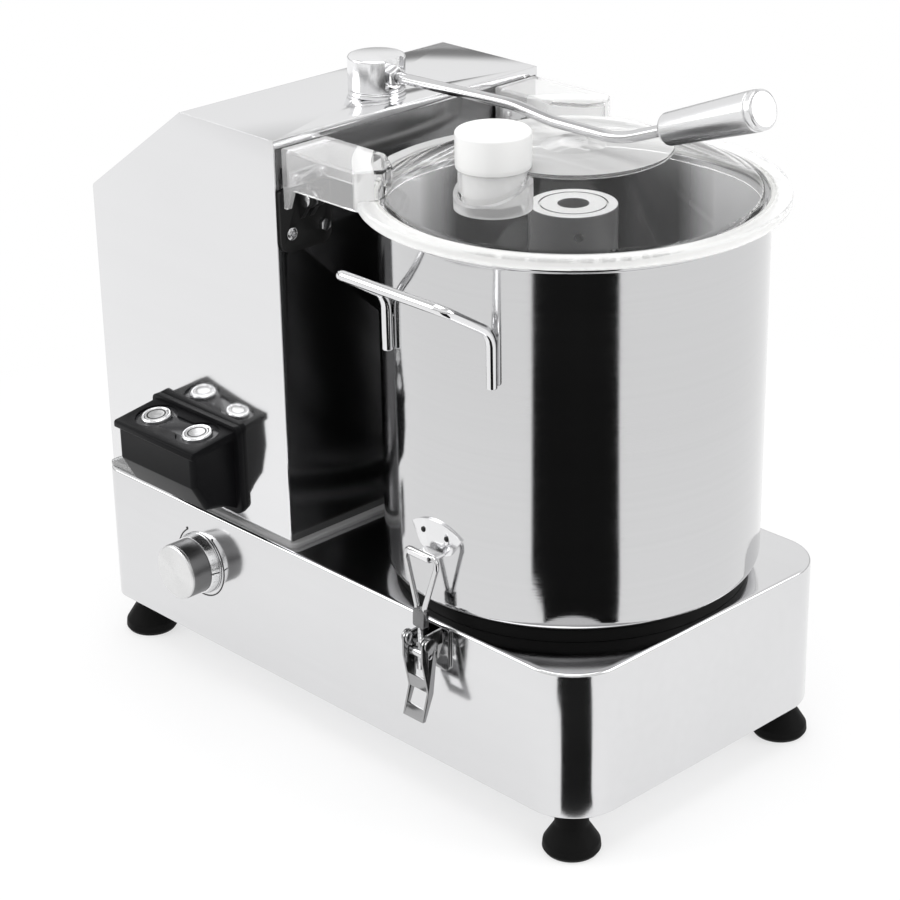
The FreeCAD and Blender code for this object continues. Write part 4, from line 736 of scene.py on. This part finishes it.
def baseRing(inset, z, steps=20):
    s = baseSpec
    x0 = s["front"] - s["length"] + inset
    x1 = s["front"] - inset
    y1 = s["half"] - inset
    front = max(s["frontCorner"] - inset, s["leastCorner"])
    rear = max(s["rearCorner"] - inset, s["leastCorner"])
    points = rounded([(x0, -y1), (x1, -y1), (x1, y1), (x0, y1)], [rear, front, front, rear], steps)
    return [place(p.x, p.y, z) for p in points]


def buildBase():
    s = baseSpec
    t = s["sheet"]
    arc = [math.pi / 2 * step / s["arcSteps"] for step in range(s["arcSteps"] + 1)]
    rings = [baseRing(s["flange"], s["low"] + t), baseRing(s["flange"], s["low"])]
    r = s["lowRound"]
    rings += [baseRing(r * (1 - math.sin(a)), s["low"] + r * (1 - math.cos(a))) for a in arc]
    r = s["deckRound"]
    rings += [baseRing(r * (1 - math.cos(a)), s["deck"] - r * (1 - math.sin(a))) for a in arc]
    rings.append(baseRing(s["deckInset"], s["deck"]))
    inner = [baseRing(s["deckInset"], s["deck"] - t), baseRing(t, s["deck"] - t), baseRing(t, s["low"] + t)]
    verts = [v for ring in rings + inner for v in ring]
    faces = []
    count = len(rings[0])
    total = len(rings) + len(inner)
    for i in range(total):
        a, b = i * count, ((i + 1) % total) * count
        if i == len(rings) - 1:
            faces.append(tuple(range(a, a + count)))
            faces.append(tuple(range(b, b + count)))
            continue
        for k in range(count):
            n = (k + 1) % count
            faces.append((a + k, a + n, b + n, b + k))
    base = linkMesh("baseShell", verts, faces)
    o = openingSpec
    glandTurn = Matrix.Translation(place(*o["glandAt"])) @ Matrix.Rotation(math.pi / 2, 4, "Y")
    cutters = [lathe("cutSpindle", cylinder(o["spindle"], o["low"], o["high"]), 96),
               lathe("cutMotor", cylinder(o["motor"], o["low"], o["high"]), 96, o["motorAt"]),
               lathe("cutKnob", cylinder(o["knob"], -o["depth"], o["depth"]), 48, matrix=knobTurn),
               lathe("cutGland", cylinder(o["gland"], -o["depth"], o["depth"]), 48, matrix=glandTurn)]
    combine(base, cutters, "DIFFERENCE")
    dress(base, "baseSteel", "base_shell", 30.0)


buildBase()

# Feet
footSpec = {"points": [(0, 0), (17.5, 0), (19.5, 3), (19.0, 8), (11.5, 20), (10.5, 32), (0, 32)],
            "radii": [0, 1.5, 1.5, 3, 4, 0, 0], "steps": 8, "around": 72,
            "places": [(101, -106), (101, 106), (-342, -106), (-342, 106)]}
for index, spot in enumerate(footSpec["places"]):
    dress(turned("foot%d" % index, footSpec, spot), "rubber", "feet", 40.0)

# Column
refined("column_gasket", "seal", 0.4)
refined("column_shell", "columnSteel", 0.7)
refined("front_panel", "panelSteel", 0.25)
seatSpec = {"points": [(100, 138), (120, 138), (120, 147), (100, 147)], "radii": [0.5, 0.5, 1.6, 1.0],
            "steps": 6, "around": 160}
dress(turned("bowlSeat", seatSpec), "rubber", "bowl_seat")
print("base and column built")

# Bowl with rolled rim and centre tube
bowlSpec = {"points": [(15.5, 147), (127, 147), (127, 391.4), (130.2, 392.9), (130.2, 396.5), (125.5, 396.5),
                       (125.5, 148.5), (20, 148.5), (17, 152), (17, 371), (15.5, 371)],
            "radii": [0, 8.0, 1.2, 1.2, 1.7, 1.2, 6.5, 1.5, 1.5, 0.5, 0.5], "steps": 8, "around": 256}
dress(turned("bowlShell", bowlSpec), "bowlSteel", "bowl", 40.0)

# Handles: bent rods, welded to the bowl's wall along their feet
handleSpec = {"radius": 3.5, "half": 47.0, "reach": 162.0, "bar": 376.0, "foot": 314.0, "bend": 351.0,
              "wall": 130.52, "bends": (18.0, 7.0, 7.0, 18.0), "weld": 2.0, "weldIn": 2.5,
              "weldHeights": (315.5, 323.0, 331.0, 338.0)}


def buildHandle(side, node):
    s = handleSpec
    w = s["half"]
    y = -math.sqrt(s["wall"] ** 2 - w ** 2)
    half = [(y, s["foot"]), (y, s["bend"]), (-s["reach"], s["bar"])]
    points = [(-w, *p) for p in half] + [(w, *p) for p in reversed(half)]
    path = [Vector((p.x, p.y * side, p.z)) for p in bendPath(points, s["bends"], 12)]
    rod = tube("handle" + node[-4:], path, s["radius"], 32, 1.0)
    welds = []
    for x in (-w, w):
        inward = Vector((x, y, 0)).normalized() * -s["weldIn"]
        seam = [Vector((x + inward.x, (y + inward.y) * side, z)) for z in s["weldHeights"]]
        welds.append(tube("weld", seam, s["weld"], 16, 1.2))
    combine(rod, welds, "UNION")
    dress(rod, "rodSteel", node)


buildHandle(1, "handle_near")
buildHandle(-1, "handle_far")
for node in ("catch_near", "catch_far"):
    refined(node, "keeperSteel", 0.3)
rivetSpec = {"x": 10.7, "y": 127.9, "z": 201.3,
             "profile": [(0, -1.0), (1.8, -1.0), (1.8, 0.5), (1.0, 1.15), (0, 1.3)]}
for index, (side, way) in enumerate(((-1, -1), (-1, 1), (1, -1), (1, 1))):
    spot = place(way * rivetSpec["x"], side * rivetSpec["y"], rivetSpec["z"])
    turn = Matrix.Translation(spot) @ Matrix.Rotation(-side * math.pi / 2, 4, "X")
    dress(lathe("rivet%d" % index, rivetSpec["profile"], 32, matrix=turn), "rivetSteel", "catch_rivets")
print("bowl built")

# Blade group: the hub has a screw hole on each side
hubSpec = {
    "points": [(17.6, 152.5), (26.1, 152.5), (26.1, 160.5), (22.1, 160.5), (22.1, 203.0), (29.1, 203.0),
               (29.1, 392.0), (22.6, 392.0), (22.6, 390.8), (21.4, 390.8), (21.4, 392.0), (10.1, 392.0),
               (10.1, 374.0), (17.6, 374.0)],
    "radii": [0, 1, 0, 0, 0, 1, 1.2, 0.2, 0, 0, 0.2, 0.8, 0, 0], "steps": 5, "around": 128}
hubHoleSpec = {"turn": -40.0, "start": 9.0, "z": 378.0, "radius": 3.0, "depth": 30.0}
hub = turned("bladeHub", hubSpec)
hubCutters = []
for side in (0, math.pi):
    angle = math.radians(hubHoleSpec["turn"]) + side
    way = Vector((math.cos(angle), math.sin(angle), 0))
    spot = place(way.x * hubHoleSpec["start"], way.y * hubHoleSpec["start"], hubHoleSpec["z"])
    hole = cylinder(hubHoleSpec["radius"], 0, hubHoleSpec["depth"])
    hubCutters.append(lathe("hubScrewHole", hole, 36, matrix=toward(spot, way)))
combine(hub, hubCutters, "DIFFERENCE")
dress(hub, "hubSteel", "blade_hub")
refined("lower_blade", "bladeSteel", 0.15)
refined("upper_blade", "bladeSteel", 0.15)
refined("blade_spacers", "hubSteel", 0.3)

# Lid
gasketSpec = {"profile": [(124.4, 397.3), (125.4, 396.8), (130, 396.8), (131, 397.3), (131, 399.8),
                          (124.4, 399.8)]}
dress(lathe("lidGasket", gasketSpec["profile"], 192), "whiteSeal", "lid_gasket")
refined("feed_tube", "clearTube", 0.0, 28.0)
capSpec = {"points": [(0, 455.3), (17.4, 455.3), (17.4, 412.3), (19.4, 412.3), (19.4, 455.3), (22.6, 455.3),
                      (22.6, 434.7), (23.7, 434.7), (24.0, 437.5), (24.0, 458.5), (0, 458.5)],
           "radii": [0, 0.5, 0.4, 0.6, 0, 0.5, 0.3, 0.4, 0.3, 2.4, 0], "steps": 8, "around": 128,
           "at": (0.0, -72.0)}
dress(turned("feedCap", capSpec, capSpec["at"]), "whitePlastic", "feed_cap")
refined("hinge_leaves", "hingeSteel", 0.25)
refined("leaf_screws", "screwSteel", 0.12)
refined("hinge_brackets", "bracketPaint", 0.35)
refined("hinge_pins", "screwSteel", 0.3)
refined("bracket_screws", "screwSteel", 0.2)
print("lid built")

# Locking arm: post, head with a flat, bent rod and tapered grip
armSpec = {"post": (-185.0, 0.0), "rod": 3.8, "path": [(-175.6, 0, 444.5), (-54, 0, 447.9), (-18, 0, 443.8)],
           "knee": (39.0, 0, 443.8), "slope": 20.3, "reach": 94.0, "bends": (120.0, 100.0, 80.0)}
postSpec = {"points": [(0, 415), (5, 415), (5, 430), (20, 430), (20, 433.6), (8, 433.6), (8, 452), (0, 452)],
            "radii": [0, 0.4, 0, 0.5, 0.8, 0, 0.5, 0], "steps": 4, "around": 96}
headSpec = {"points": [(0, 433.9), (20, 433.9), (20, 456.9), (0, 456.9)], "radii": [0, 0.6, 1.8, 0],
            "steps": 6, "around": 128, "bore": (8.05, 430, 452.5), "flatLow": 437, "flatHigh": 470,
            "flat": [(-169, -8.5), (-150, -8.5), (-150, 8.5), (-169, 8.5)]}
dress(turned("armPost", postSpec, armSpec["post"]), "headSteel", "arm_post")
head = turned("armHead", headSpec, armSpec["post"])
flat = prism("headFlat", headSpec["flat"], headSpec["flatLow"], headSpec["flatHigh"])
inner = lathe("headBore", cylinder(*headSpec["bore"]), 64, armSpec["post"])
combine(head, [flat, inner], "DIFFERENCE")
dress(head, "headSteel", "arm_head")
refined("arm_nut", "screwSteel", 0.4)
gripAngle = math.radians(armSpec["slope"])
gripWay = Vector((math.cos(gripAngle), 0, math.sin(gripAngle)))
kneePoint = Vector(armSpec["knee"])
rodPoints = armSpec["path"] + [kneePoint, kneePoint + gripWay * armSpec["reach"]]
rod = tube("armRod", bendPath(rodPoints, armSpec["bends"], 14), armSpec["rod"], 40, 0.6)
dress(rod, "armSteel", "arm_rod")

# The grip's outline runs along the rod from the knee: s and e are its start and end
gripSpec = {"start": 40.0, "length": 83.0, "small": 10.5, "large": 12.8, "bore": 3.85, "boreDepth": 54.2}
s, e = gripSpec["start"], gripSpec["start"] + gripSpec["length"]
small, large = gripSpec["small"], gripSpec["large"]
gripShape = {
    "points": [(0, s), (small - 3.5, s), (small, s + 4), (large, e - 7), (large - 1.1, e - 6.4),
               (large - 1.1, e - 5.9), (large - 0.1, e - 5.3), (large - 0.5, e - 1.4), (large - 2.2, e - 0.4),
               (0, e)],
    "radii": [0, 1.5, 3, 0.4, 0.2, 0.2, 0.4, 1.0, 1.5, 0], "steps": 6, "around": 96}
gripTurn = toward(place(*kneePoint), gripWay)
grip = turned("armGrip", gripShape, matrix=gripTurn)
bore = lathe("gripBore", cylinder(gripSpec["bore"], s - 1, s + gripSpec["boreDepth"]), 48, matrix=gripTurn)
combine(grip, [bore], "DIFFERENCE")
dress(grip, "gripMetal", "arm_grip")
print("arm built")

# Switch box, whose sloping face carries the two buttons
refined("switch_box", "blackPlastic", 0.6, 30.0)
refined("switch_plate", "padPlastic", 0.2)
buttonSpec = {"x": -246.0, "y": -142.9, "z": 208.0, "spacing": 45.6, "rise": 6.0, "run": 41.0}
bezelSpec = {"points": [(8.6, -12), (9.3, -12), (9.3, -0.6), (11.0, -0.6), (11.0, 1.2), (10.0, 2.2),
                        (9.2, 2.2), (8.6, 1.5)],
             "radii": [0, 0, 0, 0.2, 0.6, 0.5, 0.3, 0.2], "steps": 5, "around": 96}
pushSpec = {"points": [(0, -8.5), (8.3, -8.5), (8.3, 1.9), (6.6, 1.9), (6.6, 1.5), (6.0, 1.5), (6.0, 1.9),
                       (0, 1.9)],
            "radii": [0, 0.5, 0.6, 0.1, 0, 0, 0.1, 0], "steps": 4, "around": 96,
            "groove": [(6.0, 1.2), (6.9, 1.2), (6.9, 1.96), (6.0, 1.96)]}
boxTilt = math.atan2(buttonSpec["rise"], buttonSpec["run"])
buttonWay = Vector((0, -math.sin(boxTilt), math.cos(boxTilt)))
for index, node in enumerate(("button_on", "button_off")):
    spot = place(buttonSpec["x"] + buttonSpec["spacing"] * (index - 0.5), buttonSpec["y"], buttonSpec["z"])
    turn = toward(spot, buttonWay)
    dress(turned("bezel%d" % index, bezelSpec, matrix=turn), "headSteel", "button_bezels")
    spun = "spun" + node
    made[spun] = spunMaterial(spun, spot, buttonWay, 0.56, 0.28, 0.2, 0.75)
    dress(turned("buttonCap%d" % index, pushSpec, matrix=turn), spun, node)
    # A black ring on the groove outline is painted shade in each button's groove
    dress(lathe("paintedGrooveShade%d" % index, pushSpec["groove"], 96, matrix=turn), "blackPlastic", node)

# Speed knob
refined("speed_knob", "knobMetal", 0.2, 25.0)
faceSpec = {"points": [(0, 22.2), (20.2, 22.2), (20.2, 23.5), (19.3, 24.4), (0, 24.3)],
            "radii": [0, 0.1, 0.4, 0.4, 0], "steps": 4, "around": 128}
dress(turned("knobFaceDisc", faceSpec, matrix=knobTurn), "knobFace", "knob_face")
refined("knob_skirt", "skirtMetal", 0.2, 25.0)
print("controls built")

# Latches
for node in ("latch_brackets", "latch_lever_near", "latch_lever_far"):
    refined(node, "latchSteel", 0.3)
bailSpec = {"top": (0, -140.0, 192.0), "low": (0, -143.0, 121.0), "neck": 25.0, "fork": 8.0, "shoulder": 7.0,
            "wide": 13.8, "narrow": 3.4, "bends": (2.6, 3.4, 4.4, 4.4, 3.4, 2.6), "wire": 1.9,
            "barrel": 3.6, "barrelHalf": 7.4, "pins": 2.0, "pinsHalf": 9.5}
threadSpec = {"start": -12.0, "length": 31.0, "pitch": 1.0, "radii": (1.75, 2.2, 1.75), "flank": 0.42,
              "least": 0.05, "around": 12, "core": 1.78, "coreLength": 33.0}
blockSpec = {"points": [(-5.2, -6), (5.2, -6), (5.2, 7), (-5.2, 7)], "radii": [1.5, 1.5, 2.4, 2.4],
             "half": 2.6, "edge": 0.7}


def buildThread(name, begin, way, upWay):
    # Helical strip with one crest, on a core that is a tube of its own
    s = threadSpec
    sideWay = Vector((1, 0, 0))
    turns = int(s["length"] / s["pitch"] * s["around"])
    verts, faces = [], []
    for k in range(turns + 1):
        angle = 2 * math.pi * k / s["around"]
        for j, radius in enumerate(s["radii"]):
            shift = s["pitch"] * k / s["around"] + (j - 1) * s["pitch"] * s["flank"]
            shift = min(max(shift, s["least"]), s["length"])
            p = begin + way * shift + (sideWay * math.cos(angle) + upWay * math.sin(angle)) * radius
            verts.append(place(*p))
    for k in range(turns):
        for j in range(2):
            a = k * 3 + j
            faces.append((a, a + 1, a + 4, a + 3))
    return linkMesh(name, verts, faces)


def buildBail(side, node):
    # Wire loop that hooks the catch, clamped in a block on a threaded rod from the lever's barrel
    s = bailSpec
    tail = node[-4:]
    top, low = Vector(s["top"]), Vector(s["low"])
    way = (top - low).normalized()
    neck = low + way * s["neck"]
    fork = neck + way * s["fork"]
    shoulder = top - way * s["shoulder"]
    w, n = s["wide"], s["narrow"]
    half = [(n, neck), (n, fork), (w, shoulder), (w, top)]
    points = [(-x, p.y, p.z) for x, p in half] + [(x, p.y, p.z) for x, p in reversed(half)]

    def across(p):
        return Vector((p[0], p[1] * side, p[2]))

    def crossRod(name, reach, radius, sides, ends):
        return tube(name + tail, [across((x, low.y, low.z)) for x in (-reach, reach)], radius, sides, ends)

    loop = tube("bail" + tail, [across(p) for p in bendPath(points, s["bends"], 10)], s["wire"], 24)
    begin = across(low + way * threadSpec["start"])
    rodWay = across(way)
    upWay = rodWay.cross(Vector((1, 0, 0)))
    dress(buildThread("thread" + tail, begin, rodWay, upWay), "wireSteel", node, 50.0)
    end = begin + rodWay * threadSpec["coreLength"]
    core = tube("core" + tail, [begin, end], threadSpec["core"], 24, 0.3)

    def blockMap(x, u, v):
        p = across(neck + way * u) + upWay * v
        return (x, p.y, p.z)

    outline = rounded(blockSpec["points"], blockSpec["radii"], 5)
    block = prism("block" + tail, outline, -blockSpec["half"], blockSpec["half"], blockMap)
    soften(block, blockSpec["edge"])
    barrel = crossRod("barrel", s["barrelHalf"], s["barrel"], 40, 0.5)
    pins = crossRod("pins", s["pinsHalf"], s["pins"], 32, 0.3)
    for piece in (loop, core, barrel, pins):
        dress(piece, "wireSteel", node)
    dress(block, "blockSteel", node)


buildBail(1, "latch_bail_near")
buildBail(-1, "latch_bail_far")
print("latches built")

# Camera at the photograph's angle
cameraSpec = {"at": (1.0682, -1.1310, 0.9146), "right": (0.6949, 0.7191, -0.0158),
              "up": (-0.2833, 0.2937, 0.9130), "lens": 101.56, "sensor": 36.0, "near": 0.05, "far": 50.0}
cameraData = bpy.data.cameras.new("photoCamera")
camera = bpy.data.objects.new("photoCamera", cameraData)
bpy.context.scene.collection.objects.link(camera)
rightWay = Vector(cameraSpec["right"]).normalized()
upWay = Vector(cameraSpec["up"])
upWay = (upWay - rightWay * upWay.dot(rightWay)).normalized()
backWay = rightWay.cross(upWay)
turnMatrix = Matrix((rightWay, upWay, backWay)).transposed().to_4x4()
camera.matrix_world = Matrix.Translation(Vector(cameraSpec["at"]) + Vector((axisX, 0, 0))) @ turnMatrix
cameraData.sensor_width = cameraSpec["sensor"]
cameraData.lens = cameraSpec["lens"]
cameraData.clip_start = cameraSpec["near"]
cameraData.clip_end = cameraSpec["far"]
bpy.context.scene.camera = camera
bpy.context.scene.view_settings.view_transform = "Standard"

# Stage: pale floor that glows towards its far parts, soft lights, and a dark card that only reflections see
floorSpec = {"reach": 8.0, "light": (0.93, 0.93, 0.935), "dark": (0.90, 0.90, 0.90), "glow": 1.0,
             "from": 0.22, "to": 0.75, "least": 0.62, "most": 1.0}
darkSpec = {"value": 0.006, "height": 0.001,
            "left": [(3.0, -22.6), (0.42, -20.8), (0.38, -14.6), (0.30, -12.0), (0.225, -8.6), (0.205, -7.0)],
            "right": [(0.205, 14.0), (0.225, 15.2), (0.29, 20.6), (0.38, 24.2), (0.42, 24.8), (3.0, 25.2)]}
skySpec = [(0.0, 0.95), (0.50, 0.95), (0.515, 0.20), (0.56, 0.22), (0.60, 0.92), (0.80, 0.98), (0.90, 0.55),
           (1.0, 0.80)]


def buildFloor():
    reach = floorSpec["reach"]
    verts = [Vector((x * reach, y * reach, 0)) for x, y in ((-1, -1), (1, -1), (1, 1), (-1, 1))]
    floor = linkMesh("floor", verts, [(0, 1, 2, 3)])
    material, tree, surface = emptyMaterial("paleFloor")
    diffuse = addNode(tree, "ShaderNodeBsdfDiffuse")
    glow = addNode(tree, "ShaderNodeEmission")
    glow.inputs["Strength"].default_value = floorSpec["glow"]
    marks = addSmudge(tree, 2.0)
    shade = shadeOf(tree, floorSpec["light"], floorSpec["dark"], marks.outputs["Cloud"])
    tree.links.new(shade, diffuse.inputs["Color"])
    length = addNode(tree, "ShaderNodeVectorMath", operation="LENGTH")
    tree.links.new(objectSpot(tree), length.inputs[0])
    far = spread(tree, length.outputs["Value"], floorSpec["from"], floorSpec["to"], floorSpec["least"],
                 floorSpec["most"])
    tree.links.new(mixShaders(tree, far, diffuse.outputs[0], glow.outputs[0]), surface)
    floor.data.materials.append(material)


def aroundCamera(distance, angle):
    # Point just above the floor, by its distance from the spindle and its angle from the camera's side
    a = math.atan2(cameraSpec["at"][1], cameraSpec["at"][0]) + math.radians(angle)
    return Vector((axisX + math.cos(a) * distance, math.sin(a) * distance, darkSpec["height"]))


def buildCard():
    corners = [aroundCamera(*corner) for corner in darkSpec["left"] + darkSpec["right"]]
    card = linkMesh("darkFloorCard", corners, [tuple(range(len(corners)))])
    material, tree, surface = emptyMaterial("darkFloorCard")
    shine = addNode(tree, "ShaderNodeEmission")
    shine.inputs["Color"].default_value = (*(darkSpec["value"],) * 3, 1.0)
    shine.inputs["Strength"].default_value = 1.0
    tree.links.new(shine.outputs[0], surface)
    card.data.materials.append(material)
    card.visible_camera = False
    card.visible_diffuse = False
    card.visible_shadow = False
    card.visible_transmission = False


def buildWorld():
    # Reflections see a sky of bands, and the camera sees plain white
    world = bpy.data.worlds.new("studio")
    bpy.context.scene.world = world
    world.use_nodes = True
    tree = world.node_tree
    tree.nodes.clear()
    output = addNode(tree, "ShaderNodeOutputWorld")
    background = addNode(tree, "ShaderNodeBackground")
    white = addNode(tree, "ShaderNodeBackground")
    white.inputs["Color"].default_value = (1, 1, 1, 1)
    height = split(tree, addNode(tree, "ShaderNodeTexCoord").outputs["Generated"])[2]
    ramp = addNode(tree, "ShaderNodeValToRGB")
    while len(ramp.color_ramp.elements) < len(skySpec):
        ramp.color_ramp.elements.new(0.5)
    for element, (spot, value) in zip(ramp.color_ramp.elements, skySpec):
        element.position = spot
        element.color = (value, value, value, 1.0)
    tree.links.new(spread(tree, height, -1.0, 1.0), ramp.inputs[0])
    tree.links.new(ramp.outputs["Color"], background.inputs["Color"])
    seen = addNode(tree, "ShaderNodeLightPath").outputs["Is Camera Ray"]
    tree.links.new(mixShaders(tree, seen, background.outputs[0], white.outputs[0]), output.inputs["Surface"])


buildFloor()
buildCard()
buildWorld()

lightSpec = {
    "topSoftbox": {"at": (0.1, -0.2, 1.9), "to": (0.1, 0.0, 0.2), "size": 1.6, "power": 16.0},
    "leftSoftbox": {"at": (-1.3, -1.5, 1.2), "to": (0.0, 0.0, 0.25), "size": 1.2, "power": 12.0},
    "rightSoftbox": {"at": (1.6, 1.0, 1.1), "to": (0.1, 0.0, 0.25), "size": 1.2, "power": 12.0},
}
for name, spec in lightSpec.items():
    data = bpy.data.lights.new(name, "AREA")
    data.shape = "SQUARE"
    data.size = spec["size"]
    data.energy = spec["power"]
    lamp = bpy.data.objects.new(name, data)
    bpy.context.scene.collection.objects.link(lamp)
    lamp.location = spec["at"]
    lamp.rotation_euler = (Vector(spec["to"]) - Vector(spec["at"])).to_track_quat("-Z", "Y").to_euler()
print("stage built")
